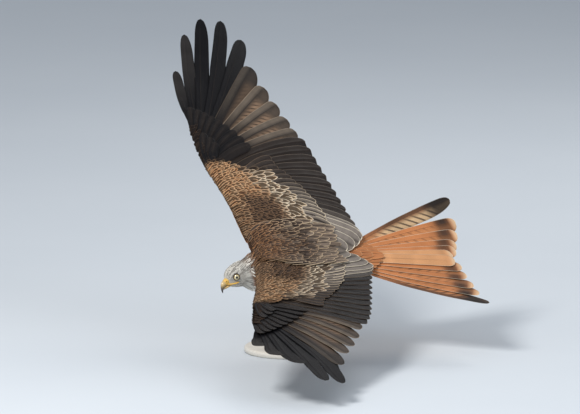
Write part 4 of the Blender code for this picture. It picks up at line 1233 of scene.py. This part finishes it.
def add_mantle(piece):
    """Rows of mantle feathers and scapulars from the neck over the roots of the wings."""
    forward, row = MANTLE_FRONT, 0
    while forward > MANTLE_BACK:
        share = rise(-forward, -MANTLE_FRONT, 0.18)
        step = 0.0118 + 0.0112 * share ** 1.3
        pitch = 0.0050 + 0.0080 * share ** 1.3
        half = float(np.interp(forward, (MANTLE_BACK, -0.12, -0.08, 0.0, MANTLE_FRONT),
                               (0.064, 0.080, 0.086, 0.066, 0.048)))
        across = np.arange(-half + pitch * 0.5 * (row % 2), half, pitch)
        across = across + rng.normal(0, pitch * 0.10, len(across))
        count = len(across)
        tip_forward = forward + 0.010 * (across / half) ** 2
        tip_forward = tip_forward + rng.normal(0, step * (0.16 + 0.16 * share), count)
        splay = np.interp(forward, (-0.15, -0.05, MANTLE_FRONT), (-0.12, 0.12, 0.40))
        angle = across / half * splay + rng.normal(0, 0.04, count)
        run = backward(angle)
        length = (step * 2.0 + 0.006) * rng.uniform(0.93, 1.10, count)
        length = np.minimum(length, np.maximum(0.008, 0.034 - tip_forward))
        tip = np.stack([tip_forward, across], -1)
        root = tip - run * length[:, None]
        wild = rng.random(count)
        worn = rng.random(count) < 0.22
        edge = np.abs(across) / half
        grey = ramp(-forward, 0.085, 0.14) * 0.7 + 0.45 * worn
        ground = mix(mix(linear(62, 48, 40), linear(44, 36, 32), wild), linear(122, 108, 96), grey)
        front = 1 - ramp(-forward, -0.01, 0.08)
        rim = mix(linear(140, 112, 88), linear(212, 190, 160), np.maximum(edge ** 2, grey))
        rim = mix(rim, mix(linear(204, 152, 104), linear(160, 114, 78), wild), front * 0.85)
        ground = mix(ground, linear(142, 100, 68), front * (0.05 + 0.38 * wild))
        width = np.full(count, pitch * 1.6) * rng.uniform(0.92, 1.08, count)
        looks = look_row(ground, rim, 0.10 + 0.06 * share - 0.04 * front, BLACK_BROWN,
                         0.08 + 0.06 * share + 0.09 * front, gloss=0.2)
        lift = 0.0058 + 0.0020 * np.abs(across / half) + rng.uniform(0, 0.0008, count)
        bake = np.stack([0.75 + across * 2.2, 0.35 - tip_forward * 2.2], -1)
        plan_feathers(piece, 1, 1, root, tip, width, lift - 0.0075, lift, looks,
                      (back_surface, tail_place), tilt=0.0, parts=FINE_PARTS, camber=0.22,
                      tip_share=0.06, bake=bake, point=0.40)
        forward -= step
        row += 1


def back_surface(forward, across):
    """Height of the back: the torso's upper face, or the wing where that is higher."""
    x = np.clip(forward, TORSO[-1][0], TORSO[0][0])
    table = np.array(TORSO)[::-1]
    half, top, low = (np.interp(x, table[:, 0], table[:, k]) for k in (1, 2, 3))
    ratio = np.clip(np.abs(across) / half, 0, 0.999)
    height = (top - low) / 2 * (1 - ratio ** TORSO_POWER) ** (1 / TORSO_POWER)
    torso = (top + low) / 2 + height
    wing = wing_surface(forward, np.maximum(np.abs(across), 0.02)) + 0.0045
    wing = wing + flesh(forward, np.maximum(np.abs(across), 0.03), 1)
    blend = 0.006
    gap = torso - wing
    return np.where(np.abs(across) < 0.015, np.maximum(torso, wing - 0.01),
                    0.5 * (torso + wing + np.sqrt(gap * gap + blend * blend)))


# Smooth pieces: bill, eyes, feet and stand


def closed(name, parts, look, voxel=0.0, smooth=0, world=True):
    """A smooth piece from closed lofts in the bird's frame, fused where voxel is given."""
    shape = bmesh.new()
    for points, faces in parts:
        points = to_world(points) if world else points
        verts = [shape.verts.new(point) for point in points]
        for face in faces:
            shape.faces.new([verts[k] for k in face])
    bmesh.ops.recalc_face_normals(shape, faces=shape.faces)
    mesh = bpy.data.meshes.new(name)
    shape.to_mesh(mesh)
    shape.free()
    made = placed(name, mesh)
    if voxel:
        remesh = made.modifiers.new("remesh", "REMESH")
        remesh.mode = "VOXEL"
        remesh.voxel_size = voxel
        soften = made.modifiers.new("smooth", "SMOOTH")
        soften.factor = 0.5
        soften.iterations = smooth
        graph = bpy.context.evaluated_depsgraph_get()
        mesh = bpy.data.meshes.new_from_object(made.evaluated_get(graph))
        made.modifiers.clear()
        made.data = mesh
    mesh.materials.append(look)
    mesh.polygons.foreach_set("use_smooth", np.ones(len(mesh.polygons), bool))
    return made


def vertex_places(made):
    return from_world(read(made.data.vertices, "co", 3))


def paint(made, values):
    """Stores a colour for each vertex, which the piece's material varies further."""
    rows = np.ones((len(made.data.vertices), 4))
    rows[:, :3] = values
    add_colour(made.data, "ground", rows)


def spline(rows, count):
    """Smoothly more rows between given ones."""
    rows = np.asarray(rows, float)
    at = np.linspace(0, len(rows) - 1, count)
    k = np.clip(at.astype(int), 0, len(rows) - 2)
    t = (at - k)[:, None]
    before = rows[np.maximum(k - 1, 0)]
    after = rows[np.minimum(k + 2, len(rows) - 1)]
    a, b = rows[k], rows[k + 1]
    slope_a, slope_b = (b - before) / 2, (after - a) / 2
    return ((2 * t ** 3 - 3 * t ** 2 + 1) * a + (t ** 3 - 2 * t ** 2 + t) * slope_a
            + (-2 * t ** 3 + 3 * t ** 2) * b + (t ** 3 - t ** 2) * slope_b)


def spread(values, count):
    """Values set evenly from root to tip, with more between them."""
    return np.interp(np.linspace(0, 1, count), np.linspace(0, 1, len(values)), values)


def head_loft(sections, count, steps):
    return loft(in_head(body_rings(spline(sections, steps), count)))


def eye_frame(side):
    """Centre, outward axis and forward axis of an eye in the head's frame."""
    sine, cosine = math.sin(EYE_TURN), math.cos(EYE_TURN)
    return (np.array((EYE_FORWARD, side * EYE_OUT, 0)), np.array((sine, side * cosine, 0)),
            np.array((cosine, -side * sine, 0)))


def eye_place(side, out, around, reach):
    """Point near the eye in the head's frame: out along its axis, reach from it at an angle."""
    centre, axis, across = eye_frame(side)
    out, around, reach = (values[..., None] for values in (out, around, reach))
    return (centre + axis * out
            + (across * np.cos(around) + np.array((0, 0, 1)) * np.sin(around)) * reach)


def make_eye(side, name, look):
    """An eyeball with its iris and pupil marked by place."""
    rings, segments = 48, 64
    polar = (np.pi * (np.arange(rings) + 0.5) / rings)[:, None]
    turn = 2 * np.pi * np.arange(segments) / segments
    bulge = 1 + 0.035 * np.exp(-(polar / 0.5) ** 2)
    places = np.broadcast_arrays(EYE_RADIUS * bulge * np.cos(polar), turn,
                                 EYE_RADIUS * np.sin(polar))
    made = closed("eyeball_" + name, [loft(in_head(eye_place(side, *places)))], look)
    centre, axis, across = eye_frame(side)
    places = head_coordinates(vertex_places(made)) - centre
    angle = np.arccos(np.clip(places @ axis / np.linalg.norm(places, axis=1), -1, 1))
    around = np.arctan2(places[:, 2], places @ across)
    fibre = 0.06 * np.sin(around * 29 + 2 * np.sin(around * 7)) + 0.05 * np.sin(around * 53)
    reach = angle / IRIS_REACH
    iris = mix(linear(222, 214, 178), linear(196, 170, 108), ramp(reach, 0.55, 0.85))
    iris = iris * (1 + fibre[:, None])
    iris = mix(iris, linear(70, 52, 30), ramp(reach, 0.84, 0.98))
    iris = mix(linear(8, 8, 9), iris, ramp(reach, 0.37, 0.42))
    paint(made, mix(iris, linear(34, 28, 24), ramp(reach, 1.0, 1.1)))
    return made


def lid_rim(side):
    """A closed rounded rim round the eye."""
    steps, section = 72, 16
    around = 2 * np.pi * np.arange(steps)[:, None] / steps
    roll = 2 * np.pi * np.arange(section)[None] / section
    rim = LID_THICK * (1 + 0.18 * np.sin(around * 2 + 0.6))
    out = LID_OUT + 0.0001 + rim * np.sin(roll)
    reach = (SOCKET_RADIUS - 0.0004 + rim * np.cos(roll)) * (1 - 0.07 * np.abs(np.sin(around)))
    points = in_head(eye_place(side, out, np.broadcast_to(around, out.shape), reach))
    index = np.arange(steps * section).reshape(steps, section)
    down = np.roll(index, -1, 0)
    quads = np.stack([index, np.roll(index, -1, 1), np.roll(down, -1, 1), down], -1)
    return points.reshape(-1, 3), quads.reshape(-1, 4).tolist()


def make_lids(look):
    lids = closed("eyelids", [lid_rim(side) for side in (1, -1)], look)
    paint(lids, linear(66, 56, 40))
    return lids


def mouth_line(side, part):
    """Point on the edge of the mouth, from under the nostril back to its corner."""
    return np.array((0.0225 - 0.0235 * part, side * (0.0040 + 0.0138 * math.sin(part * math.pi / 2)),
                     -0.0128 + 0.0078 * (1 - part) ** 2))


def make_cere(look):
    """Cere and gape with sunken nostrils, painted dark as painted shade of their openings."""
    parts = [head_loft(((0.0120, 0.0080, 0.0080, -0.0085), (0.0185, 0.0075, 0.0070, -0.0085),
                        (0.0225, 0.0069, 0.0062, -0.0084), (0.0255, 0.0058, 0.0050, -0.0081)),
                       40, 14)]
    for side in (1, -1):
        points = in_head([mouth_line(side, k / 10) for k in range(11)])
        radii = spread((.0014, .0017, .0017, .0014, .0006), 11)
        parts.append(loft(limb_rings(points, radii, 20)))
    made = closed("cere_skin", parts, look, voxel=0.00042, smooth=5)
    places = vertex_places(made)
    local = head_coordinates(places)
    colour = np.broadcast_to(linear(226, 184, 92), local.shape).copy()
    gape = 1 - ramp(local[:, 0], 0.008, 0.016)
    colour = mix(colour, linear(240, 190, 72), gape)
    colour = mix(colour, linear(198, 168, 110), 0.6 * ramp(local[:, 0], 0.0235, 0.0260))
    sunk = np.zeros(len(local))
    for side in (1, -1):
        offset = (local - np.array((0.0222, side * 0.0066, 0.0006))) / np.array((.0019, .0030, .001))
        sunk = np.maximum(sunk, 1 - ramp((offset ** 2).sum(1), 0.35, 1.15))
    # Painted shade: the nostril dents are painted near-black for the shade inside the openings.
    colour = mix(colour, linear(40, 28, 16), sunk)
    local = local - np.stack([0 * sunk, np.sign(local[:, 1]) * sunk * 0.0011, 0 * sunk], -1)
    made.data.vertices.foreach_set("co", to_world(in_head(local)).ravel())
    paint(made, colour)
    return made


def make_bill(look):
    """The hooked upper half and the lower half."""
    rings, steps, count = [], 40, 36
    for part in np.linspace(0, 1, steps):
        angle = math.radians(86) * part ** 1.25
        size = (1 - part ** 1.35) ** 0.85
        centre = np.array((0.0259 + 0.0136 * math.sin(angle) * (0.75 + 0.25 * part), 0,
                           -0.0015 - 0.0178 * (1 - math.cos(angle)) * (0.8 + 0.2 * part)))
        up = np.array((math.sin(angle), 0, math.cos(angle)))
        a, b = oval(0.0052 * size + 0.0004, 0.0064 * size + 0.0004, count)
        ridge = a * (1 - 0.20 * np.clip(b / (0.0064 * size + 0.0004), 0, 1) ** 2)
        rings.append(centre + np.outer(ridge, (0, 1, 0)) + b[:, None] * up)
    upper = closed("bill_hook", [loft(in_head(rings))], look)
    lower = closed("bill_under", [head_loft((
        (0.0110, 0.0075, -0.0095, -0.0150), (0.0200, 0.0060, -0.0088, -0.0145),
        (0.0290, 0.0044, -0.0088, -0.0132), (0.0345, 0.0018, -0.0095, -0.0120)), 32, 20)], look)
    for piece in (upper, lower):
        local = head_coordinates(vertex_places(piece))
        tip = ramp(local[:, 0] - 0.6 * local[:, 2], 0.031, 0.045)
        colour = mix(linear(206, 178, 124), linear(62, 57, 56), tip)
        paint(piece, mix(colour, linear(22, 22, 24), ramp(-local[:, 2], 0.010, 0.018) * tip))
    return upper, lower


def toe_lines(side):
    """The heel, and root, middle, tip and direction of the three front toes and the hind toe."""
    heel = np.array((-0.168, side * 0.021, -0.064))
    lines = []
    for lean, length, drop in ((-0.35, 0.024, -0.006), (0.0, 0.031, -0.007), (0.35, 0.024, -0.006)):
        along = np.array((-math.cos(lean), math.sin(lean), 0))
        tip = heel + along * length + np.array((0, 0, drop))
        lines.append((heel, heel * 0.45 + tip * 0.55 + np.array((0, 0, 0.004)), tip, along))
    tip = heel + np.array((-0.015, 0, -0.015))
    lines.append((heel, heel + np.array((-0.005, 0, -0.009)), tip, np.array((-0.8, 0, 0.2))))
    return heel, lines


CLAW_BEND = ((-0.12, 0.0), (0.35, 0.0015), (0.72, 0.0055), (0.80, 0.0100))


def make_foot(side, name, look_skin, look_horn):
    """Tarsus and closed toes, and their claws as a piece of their own."""
    ankle = np.array((-0.1190, side * 0.026, -0.070))
    heel, lines = toe_lines(side)
    shank = spline([ankle, (ankle + heel) / 2, heel], 12)
    parts = [loft(limb_rings(shank, spread((.0043, .0037, .0045), 12), 24))]
    claws = []
    for root, middle, tip, along in lines:
        line = spline([root * 0.94 + ankle * 0.06, middle, tip], 15)
        radii = spread((.0034, .0030, .0024), 15)
        radii = radii * (1 + 0.10 * np.cos(np.linspace(0, 3.2 * 2 * np.pi, 15)))
        parts.append(loft(limb_rings(line, radii, 20)))
        tail = along * CLAW_LENGTH
        bend = [tip + tail * reach + np.array((0, 0, -drop)) for reach, drop in CLAW_BEND]
        shrink = np.interp(np.linspace(0, 1, 16), (0, .33, .66, 1), (.0019, .0017, .0010, .0001))
        claws.append(loft(limb_rings(spline(bend, 16), shrink, 20)))
    foot = closed("foot_skin_" + name, parts, look_skin, voxel=0.00055, smooth=3)
    claw = closed("claws_" + name, claws, look_horn)
    tip = ramp(heel[2] - vertex_places(claw)[:, 2], 0.006, 0.016)
    paint(claw, mix(linear(70, 64, 60), linear(20, 20, 22), tip))
    paint(foot, linear(226, 178, 62))
    return foot, claw


def turned(name, profile, at, count, look):
    """A turned upright form from radii and heights."""
    angle = 2 * np.pi * np.arange(count) / count
    rings = [np.stack([at[0] + r * np.cos(angle), at[1] + r * np.sin(angle), np.full(count, z)], -1)
             for r, z in profile]
    return closed(name, [loft(rings)], look, world=False)


def make_stand(look_base, look_rod):
    """The round base with a soft upper edge, and the rod with narrowed ends."""
    low, high = (np.array(corner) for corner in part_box("stand_base"))
    radius, top = (high[0] - low[0]) / 2, high[2]
    profile = [(0.002, low[2] + 0.0002), (radius - 0.003, low[2] + 0.0002), (radius, 0.0022)]
    bead = 0.0045
    for turn in np.linspace(0, math.pi / 2, 9):
        profile.append((radius - 0.0024 - bead + bead * math.cos(turn) + 0.0022 * (1 - turn / 1.6),
                        top - bead + bead * math.sin(turn)))
    profile += [(radius * 0.5, top), (0.002, top)]
    middle = (low + high) / 2
    base = turned("display_base", profile, middle, 128, look_base)
    low, high = (np.array(corner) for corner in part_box("stand_rod"))
    radius = (high[0] - low[0]) / 2
    middle = (low + high) / 2
    profile = [(radius * 0.7, low[2])]
    profile += [(radius, low[2] + 0.0004), (radius, high[2] - 0.001), (radius * 0.7, high[2])]
    return base, turned("display_rod", profile, middle, 48, look_rod)


# Materials


class Shader:
    """Short names for building a node tree."""

    def __init__(self, name):
        self.look = bpy.data.materials.new(name)
        self.look.use_nodes = True
        self.tree = self.look.node_tree
        self.body = self.tree.nodes["Principled BSDF"]

    def node(self, kind, **settings):
        made = self.tree.nodes.new(kind)
        for key, value in settings.items():
            setattr(made, key, value)
        return made

    def link(self, source, target):
        """Joins an output to a socket, or sets the socket where the source is a value."""
        if isinstance(source, (int, float)):
            target.default_value = source
        elif isinstance(source, (tuple, np.ndarray)):
            target.default_value = tuple(float(v) for v in source)
        else:
            self.tree.links.new(source, target)

    def math(self, operation, *inputs):
        made = self.node("ShaderNodeMath", operation=operation)
        for source, target in zip(inputs, made.inputs):
            self.link(source, target)
        return made.outputs[0]

    def times(self, a, b):
        return self.math("MULTIPLY", a, b)

    def scaled(self, value, gain, offset):
        """The value times its gain, plus an offset."""
        return self.math("MULTIPLY_ADD", value, gain, offset)

    def ramp(self, value, low, high):
        """0 below low and 1 above high, with a soft rise between."""
        made = self.node("ShaderNodeMapRange", interpolation_type="SMOOTHSTEP")
        self.link(value, made.inputs["Value"])
        self.link(low, made.inputs["From Min"])
        self.link(high, made.inputs["From Max"])
        return made.outputs["Result"]

    def fall(self, value, low, high):
        """1 below low and 0 above high."""
        return self.math("SUBTRACT", 1.0, self.ramp(value, low, high))

    def mix(self, share, a, b, kind="MIX"):
        made = self.node("ShaderNodeMix", data_type="RGBA", blend_type=kind)
        self.link(share, made.inputs[0])
        for source, target in ((a, made.inputs[6]), (b, made.inputs[7])):
            if isinstance(source, (tuple, np.ndarray)) and len(source) == 3:
                source = tuple(source) + (1.0,)
            self.link(source, target)
        return made.outputs[2]

    def tinted(self, colour, tone):
        """The colour times one value."""
        grey = self.node("ShaderNodeCombineColor")
        for socket in grey.inputs:
            self.link(tone, socket)
        return self.mix(1.0, colour, grey.outputs[0], "MULTIPLY")

    def attribute(self, name):
        return self.node("ShaderNodeAttribute", attribute_name=name)

    def uv(self, name):
        split = self.node("ShaderNodeSeparateXYZ")
        self.link(self.node("ShaderNodeUVMap", uv_map=name).outputs[0], split.inputs[0])
        return split.outputs[0], split.outputs[1]

    def noise(self, scale, detail=3.0, rough=0.55, vector=None):
        made = self.node("ShaderNodeTexNoise")
        made.inputs["Scale"].default_value = scale
        made.inputs["Detail"].default_value = detail
        made.inputs["Roughness"].default_value = rough
        if vector is None:
            vector = self.node("ShaderNodeTexCoord").outputs["Object"]
        self.link(vector, made.inputs["Vector"])
        return made.outputs["Fac"]

    def stretched(self, *scale):
        """The object's own coordinates, scaled along each axis."""
        made = self.node("ShaderNodeMapping")
        made.inputs["Scale"].default_value = scale
        self.link(self.node("ShaderNodeTexCoord").outputs["Object"], made.inputs["Vector"])
        return made.outputs[0]

    def finish(self, colour, roughness, height, strength, distance, **constants):
        """Joins colour, roughness and a bump to the surface, and sets its constant values."""
        self.link(colour, self.body.inputs["Base Color"])
        self.link(roughness, self.body.inputs["Roughness"])
        for key, value in constants.items():
            self.body.inputs[key.replace("_", " ")].default_value = value
        bump = self.node("ShaderNodeBump")
        bump.inputs["Strength"].default_value = strength
        bump.inputs["Distance"].default_value = distance
        self.link(height, bump.inputs["Height"])
        self.link(bump.outputs[0], self.body.inputs["Normal"])
        return self.look


def feather_look(name, bump):
    """Shaft, barbs, bars and fringe drawn from each vertex's place on its feather."""
    s = Shader(name)
    across, along = s.uv("Feather")
    rim, part = s.uv("Place")
    ground, edge, mark, extra = (s.attribute(k) for k in ("ground", "rim", "mark", "extra"))
    traits = s.node("ShaderNodeSeparateColor")
    s.link(extra.outputs["Color"], traits.inputs[0])
    spacing, wild = traits.outputs[:2]
    place = s.node("ShaderNodeCombineXYZ")
    s.link(s.scaled(wild, 37.0, across), place.inputs[0])
    s.link(s.times(along, 0.35), place.inputs[1])
    s.link(s.times(wild, 91.0), place.inputs[2])
    blotch = s.noise(2.6, 3.0, 0.6, place.outputs[0])
    fray = s.noise(9.0, 2.0, 0.6, place.outputs[0])
    away = s.math("ABSOLUTE", across)
    turns = s.math("DIVIDE", s.times(s.scaled(away, -0.85, along), 6.2832), spacing)
    wave = s.math("SINE", s.math("ADD", turns, s.times(blotch, 1.4)))
    bars = s.times(s.ramp(wave, 0.30, 0.72), ground.outputs["Alpha"])
    colour = s.mix(bars, ground.outputs["Color"], mark.outputs["Color"])
    width = edge.outputs["Alpha"]
    frayed = s.scaled(s.math("SUBTRACT", fray, 0.5), s.times(width, 1.3), rim)
    fringe = s.fall(frayed, s.times(width, 0.55), s.times(width, 1.35))
    colour = s.mix(s.times(fringe, 0.92), colour, edge.outputs["Color"])
    taper = s.ramp(s.math("SUBTRACT", 1.0, part), 0.02, 0.34)
    streak = s.times(mark.outputs["Alpha"], s.scaled(taper, 0.95, 0.08))
    in_streak = s.fall(away, s.times(streak, 0.6), s.times(streak, 1.25))
    colour = s.mix(s.times(in_streak, 0.85), colour, mark.outputs["Color"])
    colour = s.tinted(colour, s.scaled(blotch, 0.5, s.scaled(wild, 0.22, 0.62)))
    barbs = s.math("SINE", s.scaled(s.scaled(away, -0.9, along), 118.0, s.times(fray, 5.0)))
    colour = s.tinted(colour, s.scaled(barbs, 0.07, 1.0))
    roughness = s.scaled(extra.outputs["Alpha"], -0.30, s.scaled(fray, 0.15, 0.66))
    height = s.scaled(barbs, 0.35, s.times(fray, 0.8))
    return s.finish(colour, roughness, height, 0.35, bump, Specular_IOR_Level=0.08)


def down_look():
    """The down and skin seen between the small feathers, marked as they are."""
    s = Shader("down")
    fine = s.noise(900.0)
    tone = s.scaled(fine, 0.5, s.scaled(s.noise(120.0), 0.35, 0.42))
    colour = s.tinted(s.attribute("ground").outputs["Color"], tone)
    return s.finish(colour, s.scaled(fine, 0.15, 0.8), fine, 0.5, 0.0006, Specular_IOR_Level=0.2)


def painted_look(name, roughness, spot, spot_scale, spread_share, bump_scale, bump, **constants):
    """A surface coloured by its vertices, mottled towards spot and finely bumped."""
    s = Shader(name)
    mottle = s.ramp(s.noise(spot_scale, 4.0, 0.6), 0.42, 0.72)
    colour = s.mix(s.times(mottle, spread_share), s.attribute("ground").outputs["Color"], spot)
    fine = s.noise(bump_scale)
    return s.finish(colour, s.scaled(fine, 0.22, roughness), fine, bump, 0.0003, **constants)


def scute_look():
    """Yellow foot skin in small scales."""
    s = Shader("scutes")
    cells = s.node("ShaderNodeTexVoronoi", feature="DISTANCE_TO_EDGE")
    cells.inputs["Scale"].default_value = 620.0
    s.link(s.node("ShaderNodeTexCoord").outputs["Object"], cells.inputs["Vector"])
    groove = s.ramp(cells.outputs["Distance"], 0.02, 0.16)
    broad = s.noise(260.0)
    colour = s.mix(s.math("SUBTRACT", 1.0, groove), s.attribute("ground").outputs["Color"],
                   linear(150, 106, 30))
    colour = s.mix(s.times(broad, 0.3), colour, linear(238, 206, 120))
    return s.finish(colour, s.scaled(broad, 0.2, 0.38), groove, 0.6, 0.0004,
                    Subsurface_Weight=0.06, Subsurface_Scale=0.002)


def base_look():
    """Wood in a pale satin coat of paint with a faint brushed grain."""
    s = Shader("painted_wood")
    grain = s.noise(3.0, 5.0, 0.6, s.stretched(6.0, 90.0, 90.0))
    colour = s.mix(s.ramp(grain, 0.35, 0.75), linear(214, 210, 201), linear(226, 223, 215))
    colour = s.mix(s.times(s.noise(9.0, 3.0, 0.5), 0.25), colour, linear(200, 195, 184))
    return s.finish(colour, s.scaled(grain, 0.16, 0.36), grain, 0.12, 0.0003)


def rod_look():
    """Brushed steel with fine marks round the rod."""
    s = Shader("brushed_steel")
    brush = s.noise(1.0, 4.0, 0.6, s.stretched(30.0, 30.0, 1800.0))
    colour = s.mix(brush, linear(150, 152, 156), linear(196, 198, 202))
    return s.finish(colour, s.scaled(brush, 0.22, 0.22), brush, 0.1, 0.0001, Metallic=1.0)


def floor_look():
    s = Shader("studio_floor")
    fine = s.noise(160.0, 2.0)
    colour = s.mix(s.noise(1.3), linear(204, 212, 220), linear(212, 219, 226))
    return s.finish(colour, s.scaled(fine, 0.1, 0.75), fine, 0.05, 0.0004)


# The scene


def dress(piece, slot, *nodes):
    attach(piece, "root")
    if nodes:
        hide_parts(*nodes)


def make_bird():
    flight = feather_look("flight_feather", 0.0002)
    small = feather_look("body_feather", 0.0004)
    skin = make_skin(down_look())
    unwrap(skin)
    normals = read(skin.data.vertices, "normal", 3) @ KITE_ROWS[:3, :3]
    ground, rim = body_colours(vertex_places(skin), normals)[:2]
    paint(skin, mix(ground, rim, 0.25) * 0.8)
    dress(skin, "rufous_body", "torso", "neck", "head", "thigh_left", "thigh_right")

    for side, name in SIDES:
        wing, atlas = Plumage(), Atlas(13, 5)
        for add in (add_primaries, add_secondaries, add_greater_coverts, add_primary_coverts):
            add(wing, atlas, side)
        dress(wing.make("remiges_" + name, flight), "dark_remiges", "wing_arm_" + name,
              "wing_hand_" + name)
        coat = Plumage()
        add_small_coverts(coat, side, 1)
        dress(coat.make("upper_coverts_" + name, small), "brown_coverts")
        coat = Plumage()
        add_small_coverts(coat, side, -1)
        add_under_greater(coat, side)
        dress(coat.make("under_coverts_" + name, small), "rufous_body")
    coat = Plumage()
    add_mantle(coat)
    dress(coat.make("mantle", small), "brown_coverts")
    tail = Plumage()
    add_tail(tail, Atlas(4, 3))
    add_tail_coverts(tail)
    dress(tail.make("rectrices", flight), "rufous_tail", "tail")

    places = coat_body(skin)
    on_head = head_share(places[0]) > 0.5
    for name, slot, chosen, pitch, wide in (
            ("head_feathers", "pale_head", on_head, 0.08, 0.32),
            ("body_feathers", "rufous_body", ~on_head, 0.12, 0.52)):
        coat = Plumage()
        body_feathers(coat, *(values[chosen] for values in places), pitch, wide)
        dress(coat.make(name, small), slot)


def make_details():
    eye = painted_look("eye", 0.06, linear(170, 140, 90), 900.0, 0.12, 2500.0, 0.02,
                       Coat_Weight=1.0, Coat_Roughness=0.02, Specular_IOR_Level=0.5)
    for side, name in SIDES:
        dress(make_eye(side, name, eye), "pale_iris", "eye_" + name)
    lid = painted_look("lid", 0.42, linear(110, 92, 56), 1400.0, 0.5, 3000.0, 0.4)
    dress(make_lids(lid), "yellow_cere")
    cere = painted_look("cere", 0.38, linear(216, 162, 70), 420.0, 0.4, 1800.0, 0.25,
                        Subsurface_Weight=0.10, Subsurface_Scale=0.002)
    dress(make_cere(cere), "yellow_cere", "cere")
    horn = painted_look("horn", 0.22, linear(60, 56, 54), 300.0, 0.3, 900.0, 0.12,
                        Coat_Weight=0.25, Coat_Roughness=0.15)
    upper, lower = make_bill(horn)
    dress(upper, "bill_horn", "bill_upper")
    dress(lower, "bill_horn", "bill_lower")
    scutes = scute_look()
    for side, name in SIDES:
        foot, claw = make_foot(side, name, scutes, horn)
        dress(foot, "yellow_foot", "foot_" + name)
        dress(claw, "bill_horn", *("claw_%s_%d" % (name, k) for k in (1, 2, 3, 4)))
    base, rod = make_stand(base_look(), rod_look())
    dress(base, "pale_base", "stand_base")
    dress(rod, "steel_rod", "stand_rod")


def add_light(name, place, size, power, colour):
    """A round soft light aimed at the bird's middle."""
    lamp = bpy.data.lights.new(name, "AREA")
    lamp.shape = "DISK"
    lamp.size = size
    lamp.energy = power
    lamp.color = colour
    made = placed(name, lamp)
    made.location = place
    made.rotation_euler = (LIGHT_AIM - Vector(place)).to_track_quat("-Z", "Y").to_euler()


def make_stage():
    far = FLOOR_REACH
    corners = np.array(((-far, -far, 0), (far, -far, 0), (far, far, 0), (-far, far, 0)))
    floor = mesh_object("studio_floor", corners, np.array(((0, 1, 2, 3),)), floor_look(),
                        smooth=False)
    world = bpy.data.worlds.new("studio")
    world.use_nodes = True
    back = world.node_tree.nodes["Background"]
    back.inputs["Color"].default_value = BACKGROUND
    back.inputs["Strength"].default_value = BACKGROUND_STRENGTH
    bpy.context.scene.world = world
    bpy.context.scene.view_settings.view_transform = "Standard"
    add_light("key", (-1.8, -2.8, 3.4), 1.4, 165, (1.0, 0.97, 0.93))
    add_light("fill", (2.8, -2.4, 1.6), 2.4, 34, (0.94, 0.97, 1.0))
    add_light("back", (1.2, 2.6, 2.8), 1.8, 34, (1.0, 0.98, 0.95))


def make_camera():
    """Frames the bird as the photograph does."""
    turn = Euler((VIEW_TURN, 0, 0)).to_matrix()
    lens = bpy.data.cameras.new("camera")
    lens.sensor_width = SENSOR
    lens.lens = SENSOR / VIEW_WIDTH * VIEW_DISTANCE
    lens.clip_end = VIEW_END
    made = placed("camera", lens)
    made.location = PLACE + turn @ VIEW_CENTRE + turn @ Vector((0, 0, VIEW_DISTANCE))
    made.rotation_euler = turn.to_euler()
    bpy.context.scene.camera = made


make_bird()
make_details()
make_stage()
make_camera()
